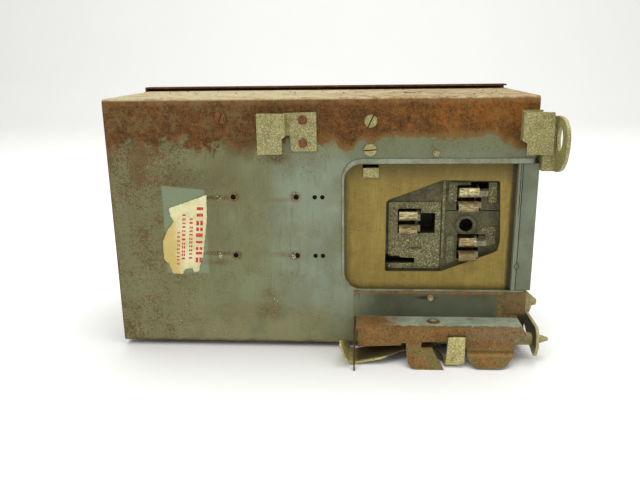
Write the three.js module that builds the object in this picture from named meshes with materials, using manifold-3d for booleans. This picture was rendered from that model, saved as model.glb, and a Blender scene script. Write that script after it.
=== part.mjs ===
// Fusible busway plug-in disconnect. Millimetres, +Z up, -Y is the mounting side.
// The origin is the centre of the outer surface of the rear (mounting) face.
import * as THREE from 'three';
import { mergeVertices } from 'three/addons/utils/BufferGeometryUtils.js';
import Module from 'manifold-3d';

// ---- driving dimensions -------------------------------------------------
const LENGTH = 400; // box, along X
const HEIGHT = 242; // box, along Z
const WALL_Y = 155; // depth of the folded walls, along Y
const SHEET = 1.5; // steel sheet
const BEND = 4; // outer bend radius of the folded walls
const GAP = 0.3; // between neighbouring pieces
const LIP = { y: 143, out: 4.5, front: 159 }; // cover flange
const FLOOR = -HEIGHT / 2 - LIP.out; // what the box stands on
const OPENING = { x: 22.3, bottom: -64.2, top: 65.4, r: 19 };
const RIM = { side: 2.4, top: 4.9, bottom: 1.2, depth: 5.9 }; // width of the opening's rim
const HOLE_X = [-80.8, -20.6];
const HOLE_Z = 28.9;
const PAIR_X = [-3, 4.2];
const HINGE = { x: -206.5, y: 139.5, r: 3, pin: 1.5 };
const LEVER = { y: 52, z: 45, shaft: 5 }; // axis of the switch rotor, along X
const CLAMP = { y: -14, z: -106.5, r: 6 }; // axis of the clamp shaft, along X
const PHASES = { a: -85, b: -47.5, c: -10 };
const BASE_TOP = 17;
const FUSE = { r: 10.3, length: 76.2, y: 31, top: -6 };
const BLADE = { half: 34, width: 12, thick: 3, rest: 150 };
const JAWS = {
  a: { x0: 132.5, x1: 150.5, z: 25.5, ear: 9 },
  b: { x0: 134.5, x1: 150, z: -23, ear: 10 },
  c: { x0: 77, x1: 94, z: 2.7 },
};

// ---- finishes -----------------------------------------------------------
const finish = (color, roughness, metalness) =>
  new THREE.MeshStandardMaterial({ color, roughness, metalness });
const PAINT = finish(0x7f8c86, 0.55, 0.2);
const PAINT_RUST = finish(0x7a5138, 0.8, 0.2);
const ZINC = finish(0xa39d76, 0.45, 0.8);
const STEEL = finish(0x8f8c82, 0.4, 0.9);
const COPPER = finish(0xb87a4e, 0.35, 0.9);
const FIBRE = finish(0xa98f58, 0.8, 0);
const MOULDED = finish(0x55544a, 0.75, 0);
const PAPER = finish(0xe4d9ae, 0.85, 0);
const FUSE_TUBE = finish(0x8c6a45, 0.7, 0);
const BASE_PLASTIC = finish(0x2c2a28, 0.6, 0);

// ---- solids -------------------------------------------------------------
const wasm = await Module();
wasm.setup();

function solid(geometry) {
  const plain = geometry.clone();
  plain.deleteAttribute('normal');
  plain.deleteAttribute('uv');
  const merged = mergeVertices(plain, 1e-5);
  return new wasm.Manifold(new wasm.Mesh({
    numProp: 3,
    vertProperties: new Float32Array(merged.attributes.position.array),
    triVerts: new Uint32Array(merged.index.array),
  }));
}

const join = (first, ...rest) => rest.reduce((sum, next) => sum.add(next), first);
const cut = (first, ...rest) => rest.reduce((left, next) => left.subtract(next), first);

function slab(x0, x1, y0, y1, z0, z1) {
  const box = new THREE.BoxGeometry(x1 - x0, y1 - y0, z1 - z0);
  return solid(box.translate((x0 + x1) / 2, (y0 + y1) / 2, (z0 + z1) / 2));
}

const shapeOf = (points) => new THREE.Shape(points.map(([a, b]) => new THREE.Vector2(a, b)));
const extruded = (points, depth) =>
  new THREE.ExtrudeGeometry(shapeOf(points), { depth, bevelEnabled: false });

// outline in X,Z, pushed along Y
const alongY = (points, y0, y1) =>
  solid(extruded(points, y1 - y0).rotateX(Math.PI / 2).translate(0, y1, 0));
// outline in Y,Z, pushed along X
const toX = new THREE.Matrix4().makeBasis(
  new THREE.Vector3(0, 1, 0), new THREE.Vector3(0, 0, 1), new THREE.Vector3(1, 0, 0));
const alongX = (points, x0, x1) =>
  solid(extruded(points, x1 - x0).applyMatrix4(toX).translate(x0, 0, 0));

function circle(a, b, r, sides = 28, stretch = 1) {
  return Array.from({ length: sides }, (_, i) => {
    const t = (i * 2 * Math.PI) / sides;
    return [a + r * Math.cos(t), b + r * stretch * Math.sin(t)];
  });
}
const rodX = (y, z, r, x0, x1, sides) => alongX(circle(y, z, r, sides), x0, x1);
const rodY = (x, z, r, y0, y1, sides) => alongY(circle(x, z, r, sides), y0, y1);
const rodZ = (x, y, r, z0, z1, sides) =>
  solid(extruded(circle(x, y, r, sides), z1 - z0).translate(0, 0, z0));

function arc(a, b, r, from, to, steps = 6) {
  return Array.from({ length: steps + 1 }, (_, i) => {
    const t = ((from + ((to - from) * i) / steps) * Math.PI) / 180;
    return [a + r * Math.cos(t), b + r * Math.sin(t)];
  });
}

// the same outline with every corner rounded
function rounded(points, radius, steps = 4) {
  return points.flatMap(([x, y], i) => {
    const [ax, ay] = points[(i + points.length - 1) % points.length];
    const [bx, by] = points[(i + 1) % points.length];
    const la = Math.hypot(ax - x, ay - y);
    const lb = Math.hypot(bx - x, by - y);
    const r = Math.min(radius, la / 2.2, lb / 2.2);
    const p = [x + ((ax - x) * r) / la, y + ((ay - y) * r) / la];
    const q = [x + ((bx - x) * r) / lb, y + ((by - y) * r) / lb];
    return Array.from({ length: steps + 1 }, (_, k) => {
      const t = k / steps;
      const u = 1 - t;
      return [u * u * p[0] + 2 * u * t * x + t * t * q[0],
        u * u * p[1] + 2 * u * t * y + t * t * q[1]];
    });
  });
}

// a bent strip of even thickness along a line of points
function strip(points, thick) {
  const left = [];
  const right = [];
  points.forEach((point, i) => {
    const before = points[Math.max(i - 1, 0)];
    const after = points[Math.min(i + 1, points.length - 1)];
    const unit = (from, to) => {
      const l = Math.hypot(to[0] - from[0], to[1] - from[1]) || 1;
      return [(to[0] - from[0]) / l, (to[1] - from[1]) / l];
    };
    const u = i > 0 ? unit(before, point) : unit(point, after);
    const v = i < points.length - 1 ? unit(point, after) : u;
    const n = [-(u[1] + v[1]), u[0] + v[0]];
    const half = thick / Math.max(n[0] ** 2 + n[1] ** 2, 1.2);
    left.push([point[0] + n[0] * half, point[1] + n[1] * half]);
    right.unshift([point[0] - n[0] * half, point[1] - n[1] * half]);
  });
  return [...left, ...right];
}

// ---- assembly -----------------------------------------------------------
const group = new THREE.Group();
group.name = 'busway_plug_disconnect';

function piece(name, material, body) {
  const mesh = body.getMesh();
  const geometry = new THREE.BufferGeometry();
  geometry.setAttribute('position', new THREE.BufferAttribute(mesh.vertProperties, 3));
  geometry.setIndex(new THREE.BufferAttribute(mesh.triVerts, 1));
  const flat = geometry.toNonIndexed();
  flat.computeVertexNormals();
  const made = new THREE.Mesh(flat, material);
  made.name = name;
  group.add(made);
}

const halfH = HEIGHT / 2;
const halfL = LENGTH / 2;

// ---- enclosure ----------------------------------------------------------
function openingOutline(inset, insetTop, insetBottom, right) {
  const { x, top, bottom, r } = OPENING;
  const k = r - inset;
  const t = top - insetTop;
  const b = bottom + insetBottom;
  return [[right, t], ...arc(x + inset + k, t - k, k, 90, 180),
    ...arc(x + inset + k, b + k, k, 180, 270), [right, b]];
}

function wrapperSection() {
  const inner = BEND - SHEET;
  const c = halfH - BEND;
  return [[WALL_Y, halfH], ...arc(BEND, c, BEND, 90, 180), ...arc(BEND, -c, BEND, 180, 270),
    [WALL_Y, -halfH], [WALL_Y, -halfH + SHEET], ...arc(BEND, -c, inner, 270, 180),
    ...arc(BEND, c, inner, 180, 90), [WALL_Y, halfH - SHEET]];
}

const rearHoles = [];
for (const z of [HOLE_Z, -HOLE_Z]) {
  for (const x of HOLE_X) rearHoles.push(rodY(x, z, 2.5, -1, 3, 20));
  for (const x of PAIR_X) rearHoles.push(rodY(x, z - 0.2, 2.2, -1, 3, 20));
}
const topSlots = [[-34, 66], [80, 83], [96.5, 61]].map(([x, y]) =>
  slab(x - 4, x + 4, y - 2, y + 2, halfH - 3, halfH + 1));
const REAR_SCREWS = {
  rear_screw_left: [-89.2, 103.4],
  rear_screw_middle: [49.3, 99.7],
  rear_screw_barrier: [49, 73.3],
};
const PINS = { block_pin_upper: [109.4, 69.8], block_pin_lower: [108.4, -70.3] };
const fastenerHoles = [...Object.values(REAR_SCREWS).map(([x, z]) => rodY(x, z, 2.6, -1, 3, 16)),
  ...Object.values(PINS).map(([x, z]) => rodY(x, z, 2.1, -1, 3, 16))];

piece('enclosure_wrapper', PAINT, cut(
  alongX(wrapperSection(), -halfL, halfL),
  alongY(openingOutline(0, 0, 0, halfL + 1), -1, 3),
  ...rearHoles, ...topSlots, ...fastenerHoles));

// end plates: shallow pans that sit inside the folded walls
const panZ = halfH - SHEET - GAP;
function endPan(outer, inner, flange) {
  const [x0, x1] = [Math.min(outer, inner), Math.max(outer, inner)];
  const [f0, f1] = [Math.min(inner, flange), Math.max(inner, flange)];
  const block = slab(Math.min(x0, f0), Math.max(x1, f1), 2, WALL_Y - 2, -panZ, panZ);
  const hollow = slab(f0 - (flange < inner ? 1 : 0), f1 + (flange > inner ? 1 : 0),
    2 + SHEET, WALL_Y, -panZ + SHEET, panZ - SHEET);
  const corners = [1, -1].map((s) =>
    cut(slab(-halfL - 1, halfL + 1, 1, 6, Math.min(s * (panZ - 4), s * (panZ + 1)),
      Math.max(s * (panZ - 4), s * (panZ + 1))), rodX(6, s * (panZ - 4), 4, -halfL - 2, halfL + 2)));
  return cut(block, hollow, ...corners);
}
const knockout = (y, z, r) => cut(rodX(y, z, r + 0.7, -200, -199), rodX(y, z, r, -201, -198));
piece('end_plate_left', PAINT, cut(endPan(-199.5, -198, -188),
  knockout(80, 45, 17), knockout(80, 45, 12), knockout(80, -45, 22), knockout(80, -45, 17)));

const keeper = slab(190.5, 198.5, 149.2, 150.8, -106, -84);
piece('end_plate_right', PAINT, cut(join(endPan(199.5, 198, 188), keeper),
  slab(185, 198, 1, 13, OPENING.bottom - 4, OPENING.top + 4),
  rodX(LEVER.y, LEVER.z, LEVER.shaft + 0.4, 195, 202)));

const CHANNEL_TOP = OPENING.top - RIM.top - 0.3;
const CHANNEL_X = 185;
// guide channel that closes the open end of the plug-in opening
piece('end_channel', PAINT, join(
  slab(CHANNEL_X, 203.5, 0.3, 1.8, -62.6, CHANNEL_TOP),
  slab(202, 203.5, 0.3, 8.5, -62.6, CHANNEL_TOP),
  slab(CHANNEL_X, CHANNEL_X + 3.6, -0.6, 0.4, -62.6, CHANNEL_TOP),
  slab(CHANNEL_X, CHANNEL_X + SHEET, 0.3, 5.8, -62.6, CHANNEL_TOP)));

const rim = join(
  alongY([...openingOutline(0.2, 0.2, 0.2, 197.4),
    ...openingOutline(RIM.side, RIM.top, RIM.bottom, 197.4).reverse()], -0.9, 0.6),
  alongY([...openingOutline(0.9, RIM.top - 1.5, 0.3, 197.4),
    ...openingOutline(RIM.side, RIM.top, RIM.bottom, 197.4).reverse()], 0, RIM.depth));
piece('opening_rim', PAINT, cut(rim, slab(CHANNEL_X - 0.4, 199, -2, 9, -62.8, CHANNEL_TOP + 0.2),
  slab(15, 199, 1.6, 9, OPENING.bottom - 1, -58)));

// ---- plug-in opening ----------------------------------------------------
const CUTOUT = rounded([[64.2, -46.3], [118.2, -46.1], [171.2, -25.4], [173.4, -15],
  [170.2, 43], [117.2, 43.9], [64.6, 24.2]], 2.5);
piece('insulating_barrier', FIBRE, cut(
  alongY(rounded([[18, -65.6], [197, -65.6], [197, 64.5], [18, 64.5]], 4), 6.2, 9.2),
  alongY(CUTOUT, 5, 10), slab(42.2, 57, 5, 10, 54, 58.8)));
piece('barrier_clip', STEEL, join(
  slab(42.7, 57.3, 4.5, 5.9, 46.6, 55.7), slab(43.4, 56.2, 4.5, 20, 54.3, 55.7)));

function stabBlock() {
  const ears = [1, -1].map((s) => join(
    slab(96, 122, 22, 40, Math.min(s * 45, s * 77), Math.max(s * 45, s * 77)),
    slab(96, 122, 2, 40, Math.min(s * 66, s * 77), Math.max(s * 66, s * 77))));
  const pads = [
    alongY(rounded([[67.5, -45], [117, -45], [117, 21.5], [67.5, 21.5]], 2), 12.6, 15),
    slab(118.6, 121, 12.4, 15, -34, 42),
    alongY(rounded([[124, 22], [144.2, 22], [144.2, 40.5], [124, 40.5]], 2), 12.6, 15),
    alongY(rounded([[161.6, 21], [169, 21], [169, 40.5], [161.6, 40.5]], 1.5), 12.6, 15),
    alongY(rounded([[160.4, -22], [170, -20], [170, -3], [158, -3], [152, -9.8], [160.4, -9.8]], 1.2),
      13.2, 15),
    alongY(rounded([[124, -40], [131, -38], [131, -12], [124, -12]], 1.5), 13.4, 15),
  ];
  const pockets = Object.values(JAWS).flatMap(({ x0, x1, z }) => [
    slab(x0 - 0.8, x1 + 4.4, 10, 41, z - 12.4, z + 12.4)]);
  const cuts = [
    slab(93, 112, 10, 37, -9.3, 10.8), // window beside the left jaw
    slab(144.6, 161.3, 10, 35, 34, 40.7), // slot above the upper right jaw
    alongY([[60, -31], [66, -30.6], [71, -32.4], [76, -31.8], [80, -33.6], [86, -34.2], [93, -34],
      [93, -39.8], [60, -39.8]], 10, 30), // broken slot at the lower left
    slab(88, 98.5, 10, 15, -24.9, -23.7),
    slab(146, 161.5, 12, 20, -12.2, -11.2),
    slab(122, 173, 13, 16, 12.3, 13.4),
    rodY(141.8, -1.6, 6.6, 10, 33),
    cut(rodY(141.8, -1.6, 12, 12, 15.4, 36), rodY(141.8, -1.6, 9.5, 11, 15.4, 36)),
    rodY(141.8, -1.6, 4.3, 10, 41),
    ...Object.values(PINS).map(([x, z]) => rodY(x, z, 2.1, 1, 16, 16)),
  ];
  return cut(join(slab(58, 180, 14.4, 40, -52, 50), ...ears, ...pads), ...pockets, ...cuts);
}
piece('stab_block', MOULDED, stabBlock());
piece('block_bolt', STEEL, cut(join(
  alongY(circle(141.8, -1.6, 6.2, 6), 25, 31), rodY(141.8, -1.6, 4, 30, 47)),
  rodY(141.8, -1.6, 2.6, 23, 26.5, 6)));

// one jaw: two sprung fingers that pinch a bus bar lying in the X,Y plane
function jaw({ x0, x1, z }) {
  const finger = (s) => alongX(strip([[39, s * 8.4], [22, s * 8.2], [11, s * 3.9], [6.4, s * 3],
    [3, s * 5.2], [1.7, s * 8.6], [3.4, s * 10.6]].map(([y, h]) => [y, z + h]), 2.4), x0, x1);
  return join(finger(1), finger(-1), slab(x0, x1, 37.8, 41.2, z - 9.5, z + 9.5));
}
// a flat spring beside the jaw; its arms close towards the bar, and one may carry an ear
function jawSpring({ x1, z, ear = 0 }) {
  const outer = [[4.6, 8.2], [12.6, 8.8], [24, 11.2], [33, 11.2], [33, -11.2], [24, -11.2],
    [12.6, -8.8], [4.6, -8.2]];
  const inner = [[4.6, -2.4], [11, -2.8], [15, -8.6], [31, -8.6], [31, 8.6], [15, 8.6],
    [11, 2.8], [4.6, 2.4]];
  const arms = alongX([...outer, ...inner].map(([y, h]) => [y, z + h]), x1 + 0.4, x1 + 3);
  return ear ? join(arms, slab(x1 + 2, x1 + ear, 4.6, 10, z + 3.4, z + 8.2)) : arms;
}
for (const [key, size] of Object.entries(JAWS)) {
  piece(`line_jaw_${key}`, COPPER, jaw(size));
  piece(`jaw_spring_${key}`, STEEL, jawSpring(size));
}

// ---- rear fasteners, hooks and label --------------------------------------
const slotted = (x, z, turn) => {
  const a = (turn * Math.PI) / 180;
  const [c, s] = [Math.cos(a), Math.sin(a)];
  const bar = [[-8, -0.7], [8, -0.7], [8, 0.7], [-8, 0.7]].map(([u, v]) =>
    [x + u * c - v * s, z + u * s + v * c]);
  const head = join(rodY(x, z, 5.9, -1.6, -0.05, 24), rodY(x, z, 5, -2.3, -1.5, 24));
  return cut(join(head, rodY(x, z, 2.3, -0.5, 11, 14)), alongY(bar, -3, -1));
};
const SCREW_TURNS = { rear_screw_left: 70, rear_screw_middle: 64, rear_screw_barrier: 4 };
for (const [name, [x, z]] of Object.entries(REAR_SCREWS)) {
  piece(name, name === 'rear_screw_left' ? PAINT_RUST : ZINC, slotted(x, z, SCREW_TURNS[name]));
}
for (const [name, [x, z]] of Object.entries(PINS)) {
  const seat = name === 'block_pin_lower' ? -1.65 : -0.05;
  piece(name, ZINC, join(rodY(x, z, 1.8, seat - 4.6, 15, 14),
    rodY(x, z, 2.9, seat - 1.6, seat, 16)));
}

// hanger hooks: foot, step and a tongue whose lower end hangs free
const TONGUE = { y0: -10.2, y1: -8.4 };
const tongueLeft = rounded([[-54.5, 70.5], [-31.8, 70.8], [-31.8, 84.8], [-28.8, 87],
  [-28.8, 107.4], [-54.5, 107.6]], 1);
piece('hanger_hook_left', ZINC, cut(join(
  alongY(tongueLeft, TONGUE.y0, TONGUE.y1),
  slab(-30.6, -28.8, TONGUE.y0 + 0.5, -0.05, 87, 107.3),
  alongY(rounded([[-30.6, 87], [-30.6, 107.3], [-0.4, 108.2], [-0.4, 72.6], [-24, 72.4],
    [-25, 87]], 1), -2, -0.05)),
rodY(-13, 101, 2.9, -3, 1, 16), rodY(-13, 80, 2.9, -3, 1, 16)));
const tongueRight = rounded([[184.2, 107.8], [211, 107], [211.6, 70], [188.6, 69.2],
  [188.4, 80], [184.2, 82]], 1);
piece('hanger_hook_right', ZINC, join(
  alongY(tongueRight, TONGUE.y0, TONGUE.y1),
  slab(184.2, 186, TONGUE.y0 + 0.5, -0.05, 82, 107.6),
  slab(184.2, 202.4, -2, -0.05, 82, 108.6)));
for (const [name, z] of [['hook_rivet_upper', 101], ['hook_rivet_lower', 80]]) {
  piece(name, PAINT_RUST, join(rodY(-13, z, 4.2, -3.6, -2.05, 18), rodY(-13, z, 2.5, -2.4, -0.2, 14)));
}
const LABEL = [[-106.6, 31], [-123.9, 24.7], [-143.9, 18], [-142.9, 11.1], [-140.2, 4.2],
  [-145.4, -1.9], [-148.3, -6.7], [-151.8, -15.5], [-152.3, -32.2], [-147.3, -38.5],
  [-144.7, -47.9], [-135.4, -48.5], [-131.3, -43.3], [-125.2, -42.3], [-122.8, -46.6],
  [-118.2, -45.7], [-116.6, -38], [-113.4, -31.3], [-110.2, -10.9], [-107.3, 8.6]];
piece('paper_label', PAPER, alongY(LABEL, -0.4, -0.1));

// ---- clamp hood -----------------------------------------------------------
const HOOD = { top: -90, front: -31.5, back: -30 };
// a tongue leans out from the lower edge of the hood down to the resting plane
function tongue(outline, lean) {
  const flat = alongY(outline, -60, -20);
  const y0 = HOOD.front;
  const slope = alongX([[y0, lean], [y0 - 14.2, FLOOR], [y0 - 12, FLOOR], [y0 + 1.5, lean - 1],
    [y0 + 1.5, lean + 2], [y0, lean + 2]], 30, 200);
  return flat.intersect(slope);
}
const tongueOne = [[84.2, -104], [97.9, -104], [97.9, -109.4], [108, -109.6], [119, FLOOR - 1],
  [93, FLOOR - 1], [88.4, -124.2], [85.2, -121], [84, -115]];
const tongueTwo = [[139.9, -104], [184.4, -104], [184.2, -111], [181.8, -116.6], [176.8, -121],
  [170.6, -123.8], [148.6, -123.8], [143.6, -120.4], [140.9, -116]];
const hoodFace = [[38.4, HOOD.top - 0.2], [192.6, HOOD.top - 0.2], [196, -96.6], [184.6, -97.8],
  [184.6, -109.4], [139.6, -109.4], [139.6, -96.8], [122, -96.8], [122, -102.6], [98.4, -104],
  [98.4, -108.2], [83.8, -108.2], [83.8, -105.2], [79.4, -105.2], [79.4, -107.4], [38.8, -109.4]];
piece('clamp_hood', PAINT_RUST, cut(join(
  slab(34, 177.5, -1.5, -0.05, HOOD.top - 1.5, -64.2),
  alongX(strip([[-0.8, -88], [-0.8, -90], [-1.6, -90.8], [-29.4, -90.8], [-30.75, -92]], 1.5),
    36.8, 192.6),
  alongY(hoodFace, HOOD.front, HOOD.back),
  rodZ(110.6, -14.2, 4.6, -91, -88.7, 20), // rivet on the shelf
  tongue(tongueOne, -107.4), tongue(tongueTwo, -108.6)),
rodY(108.4, -70.3, 2.1, -3, 1, 16)));
piece('hood_end_plate', PAINT_RUST, alongX([[-2, -90.6], [-30, -90.6], [-32.4, -93.4],
  [-50.4, FLOOR + 0.2], [-46.4, FLOOR + 0.2], [-30, -98.6], [-2, -98.6]], 34.2, 35.7));

// ---- clamp: shaft, crank, leaf --------------------------------------------
const nose = solid(new THREE.CylinderGeometry(1.6, 5, 10, 20).rotateZ(-Math.PI / 2)
  .translate(214.6, CLAMP.y, CLAMP.z));
piece('clamp_shaft', ZINC, join(
  rodX(CLAMP.y, CLAMP.z, CLAMP.r, 38, 203.9, 24), rodX(CLAMP.y, CLAMP.z, 4, 203, 210.5, 20), nose));
const CRANK = rounded([[34, -90.5], [-25, -90.5], [-30, -96], [-31.6, -108], [-26, -119.4],
  [-19, -118.4], [-8, -115.6], [14, -104], [34, -102]], 2);
piece('clamp_crank', ZINC, cut(alongX(CRANK, 204.2, 207.2),
  rodX(CLAMP.y, CLAMP.z, 4.3, 203, 209, 20)));
const leafLine = [[34, -124.2], [61, -118.8], [84, -113.8], [107.6, -110.6], [119.8, -123.4]];
const LEAF_BACK = -6;
const leafPlan = [[33, -37.6], [62, -36], [80, -28.6], [125, -28.6], [125, -20.6], [80, -20.6],
  [74, LEAF_BACK], [33, LEAF_BACK]];
const leafPlate = alongY(strip(leafLine, 1.8), -40, LEAF_BACK).intersect(
  solid(extruded(leafPlan, 40).translate(0, 0, -130)));
const hookTab = alongX(strip([[-22, -123.6], [-36.6, -123.7], [-39.4, -121.6], [-35.4, -96.6]], 1.8),
  119, 138.2).intersect(join(
  alongY([[119, -125.3], [137.6, -121], [138.4, -95.4], [122.6, -97.4], [120.4, -122]], -50, -30),
  slab(119, 128, -36, -20, -126, -110)));
const thumbTab = alongY(strip([[35.4, -123.6], [29.6, -121.6], [25.6, -114], [21.8, -102]], 1.8),
  -44.4, LEAF_BACK).intersect(alongX([[LEAF_BACK, -125.4], [-37.6, -125.4], [-44.4, -113],
  [-43, -101.4], [-33, -102.4], [LEAF_BACK, -114.5]], 15, 40));
const collar = cut(join(rodX(CLAMP.y, CLAMP.z, 8.6, 98, 114, 24),
  slab(98, 109, -24, CLAMP.y - 2, -113, -109.6)),
rodX(CLAMP.y, CLAMP.z, CLAMP.r + 0.3, 90, 120, 24));
piece('clamp_leaf', ZINC, join(leafPlate, hookTab, thumbTab, collar));
piece('stop_tab', ZINC, join(
  alongY(rounded([[199.8, -63.6], [212.4, -75], [212, -80], [208, -80.6], [206.2, -88],
    [199.8, -88]], 0.8), 7.6, 10.2),
  slab(199.8, 201.4, 7.6, 24, -88, -64)));

// ---- switch: lever, shaft, rotor ------------------------------------------
const ARM = rounded([[LEVER.y + 12, LEVER.z + 4], [LEVER.y + 4, LEVER.z + 13], [30, 92],
  [8, 103.5], [-3, 103.5], [-3, 54], [6, 54], [24, 49], [LEVER.y - 6, LEVER.z - 12],
  [LEVER.y + 8, LEVER.z - 10]], 5);
const EYE = rounded([[-2.6, 54], [-14, 54.4], [-26, 58.6], [-34.4, 66.4], [-38.4, 77], [-38.6, 87],
  [-34.6, 96], [-26, 101.8], [-14, 103.6], [-2.6, 103.6]], 3);
piece('operating_lever', ZINC, cut(join(
  alongX(ARM, 203.9, 206.9),
  slab(203.9, 217.5, -5.6, -2.6, 54, 103.5),
  alongX(EYE, 214.5, 217.5)),
alongX(circle(-17, 84.5, 7.8, 28, 1.36), 212, 220),
rodX(LEVER.y, LEVER.z, LEVER.shaft + 0.1, 200, 210)));
piece('lever_nut', STEEL, cut(alongX(circle(LEVER.y, LEVER.z, 8.4, 6), 207.1, 212.5),
  rodX(LEVER.y, LEVER.z, LEVER.shaft + 0.1, 200, 215)));
piece('operating_shaft', STEEL, rodX(LEVER.y, LEVER.z, LEVER.shaft, -4.6, 213.5, 24));

function turned([y, z], degrees) {
  const a = (degrees * Math.PI) / 180;
  const [c, s] = [Math.cos(a), Math.sin(a)];
  return [LEVER.y + y * c - z * s, LEVER.z + y * s + z * c];
}
const bladeOutline = (grow) => {
  const [h, w] = [BLADE.half + grow, BLADE.width / 2 + grow];
  return rounded([[-h, -w], [h, -w], [h, w], [-h, w]], 3).map((p) => turned(p, BLADE.rest));
};
const blade = (x, grow) =>
  alongX(bladeOutline(grow), x - BLADE.thick / 2 - grow, x + BLADE.thick / 2 + grow);
const phaseX = Object.values(PHASES);
piece('rotor_bar', BASE_PLASTIC, cut(join(
  rodX(LEVER.y, LEVER.z, 11, -105, 12), rodX(LEVER.y, LEVER.z, 6, -113.5, -104, 20)),
rodX(LEVER.y, LEVER.z, LEVER.shaft + 0.2, -5, 13, 24),
...phaseX.map((x) => blade(x, 0.2))));
for (const [key, x] of Object.entries(PHASES)) piece(`moving_blade_${key}`, COPPER, blade(x, 0));
piece('rotor_bearing', STEEL, cut(join(
  slab(-112.6, -109.4, BASE_TOP + 0.2, LEVER.y + 10, LEVER.z - 12, LEVER.z + 12),
  slab(-112.6, -99, BASE_TOP + 0.2, BASE_TOP + 3.4, LEVER.z - 12, LEVER.z + 12)),
rodX(LEVER.y, LEVER.z, 6.3, -120, -105, 20)));
piece('switch_base', BASE_PLASTIC, cut(slab(-116, 14, 1.8, BASE_TOP, -112, 100),
  ...[-66.2, -28.8].map((x) => slab(x - 1.5, x + 1.5, BASE_TOP - 5, BASE_TOP + 1, -104, 92))));

// fixed contacts, each a post with two leaves the blade slides between
const leaves = (x, z0, z1) => [1, -1].map((s) =>
  slab(Math.min(x + s * 1.9, x + s * 3.9), Math.max(x + s * 1.9, x + s * 3.9), 44, 60, z0, z1));
const STRAPS = {
  a: (x) => [slab(x - 6, 147, 41.5, 43.5, 104, 112), slab(137, 147, 41.5, 43.5, 18, 112),
    slab(x - 6, x + 6, 41.5, 43.5, 86, 112)],
  b: (x) => [slab(x - 6, 118, 41.5, 43.5, 94, 102), slab(108, 118, 41.5, 43.5, -28, 102),
    slab(108, 150, 41.5, 43.5, -28, -18), slab(x - 6, x + 6, 41.5, 43.5, 86, 102)],
  c: (x) => [slab(x - 6, 90, 41.5, 43.5, 84.5, 92.5), slab(80, 90, 41.5, 43.5, -4, 92.5)],
};
const clip = (x, z0, z1) => [
  slab(x - 12.2, x + 12.2, BASE_TOP + 0.2, BASE_TOP + 2.2, z0, z1),
  ...[1, -1].map((s) => slab(Math.min(x + s * 10.7, x + s * 12.2),
    Math.max(x + s * 10.7, x + s * 12.2), BASE_TOP + 0.2, 37, z0, z1))];
for (const [key, x] of Object.entries(PHASES)) {
  piece(`line_strap_${key}`, COPPER, join(
    slab(x - 6, x + 6, BASE_TOP + 0.2, 60, 84.5, 92), ...leaves(x, 70, 85), ...STRAPS[key](x)));
  piece(`fuse_clip_upper_${key}`, COPPER, join(
    slab(x - 6, x + 6, BASE_TOP + 0.2, 60, -2, 5.5), ...leaves(x, 5, 20),
    slab(x - 8, x + 8, BASE_TOP + 0.2, BASE_TOP + 2.2, -22, 5.5), ...clip(x, -22, -8)));
  const lug = cut(slab(x - 8, x + 8, BASE_TOP + 0.2, 34, -105, -88),
    rodZ(x, 25, 4.4, -106, -87, 20), rodY(x, -96.5, 4.3, 26, 35, 20));
  piece(`fuse_clip_lower_${key}`, COPPER, join(lug,
    slab(x - 8, x + 8, BASE_TOP + 0.2, BASE_TOP + 2.2, -90, -66), ...clip(x, -80, -66)));
  piece(`lug_screw_${key}`, STEEL, cut(rodY(x, -96.5, 4, 29.6, 39, 20),
    slab(x - 5, x + 5, 37.4, 40, -97.2, -95.8)));
  piece(`fuse_${key}`, FUSE_TUBE, rodZ(x, FUSE.y, FUSE.r, FUSE.top - FUSE.length, FUSE.top, 32));
}
piece('ground_lug', COPPER, cut(slab(-157, -143, 1.8, 18, -98, -82),
  rodZ(-150, 9, 4.2, -100, -80, 18), rodY(-150, -90, 2.6, 12, 20, 16)));

// ---- cover, hinge, latch ----------------------------------------------------
const knuckle = (z0, z1) => cut(rodZ(HINGE.x, HINGE.y, HINGE.r, z0, z1, 20),
  rodZ(HINGE.x, HINGE.y, HINGE.pin + 0.3, z0 - 1, z1 + 1, 16));
const bore = rodZ(HINGE.x, HINGE.y, HINGE.pin + 0.3, -120, 120, 16);
const coverKnuckles = [[-59.6, -20.4], [20.4, 59.6]].map(([z0, z1]) => cut(join(
  knuckle(z0, z1), slab(-206.2, -204.4, HINGE.y + 1, 157, z0, z1)), bore));
const [coverX, coverZ] = [halfL + LIP.out, halfH + LIP.out];
const COVER_END = 199.3;
piece('cover', PAINT, cut(join(
  cut(slab(-coverX, COVER_END, LIP.y, LIP.front, -coverZ, coverZ),
    slab(-coverX + SHEET, COVER_END + 1, LIP.y - 1, LIP.front - SHEET, -coverZ + SHEET,
      coverZ - SHEET)), ...coverKnuckles),
rodY(184, -95, 3.2, 150, 165, 20)));
const fixedKnuckles = [[-100, -60], [-20, 20], [60, 100]].map(([z0, z1]) => join(
  knuckle(z0, z1), cut(slab(-206.5, -200, 136.6, 138.4, z0, z1), bore)));
piece('hinge_leaf', PAINT, join(slab(-201.6, -199.7, 116, 138.4, -100, 100), ...fixedKnuckles));
piece('hinge_pin', STEEL, join(rodZ(HINGE.x, HINGE.y, HINGE.pin, -103, 101, 16),
  rodZ(HINGE.x, HINGE.y, 2.7, 100.6, 103, 16)));
piece('cover_latch', ZINC, cut(join(
  rodY(184, -95, 8, LIP.front + 0.2, 163, 28), rodY(184, -95, 2.9, 146, 160, 20),
  alongY(rounded([[180, -107.5], [188, -107.5], [188, -90.5], [180, -90.5]], 3), 146, 148.6)),
slab(178, 190, 161.6, 164, -95.9, -94.1)));

export default group;
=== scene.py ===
# Looks of a weathered busway plug-in disconnect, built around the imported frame.
# Metres, +Z up, -Y is the mounting side that faces the camera. Materials, and the new
# pieces until they are made, work in millimetres in the same frame.
import math
import random

import bmesh
import bpy
from mathutils import Matrix, Vector, geometry, noise


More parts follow.
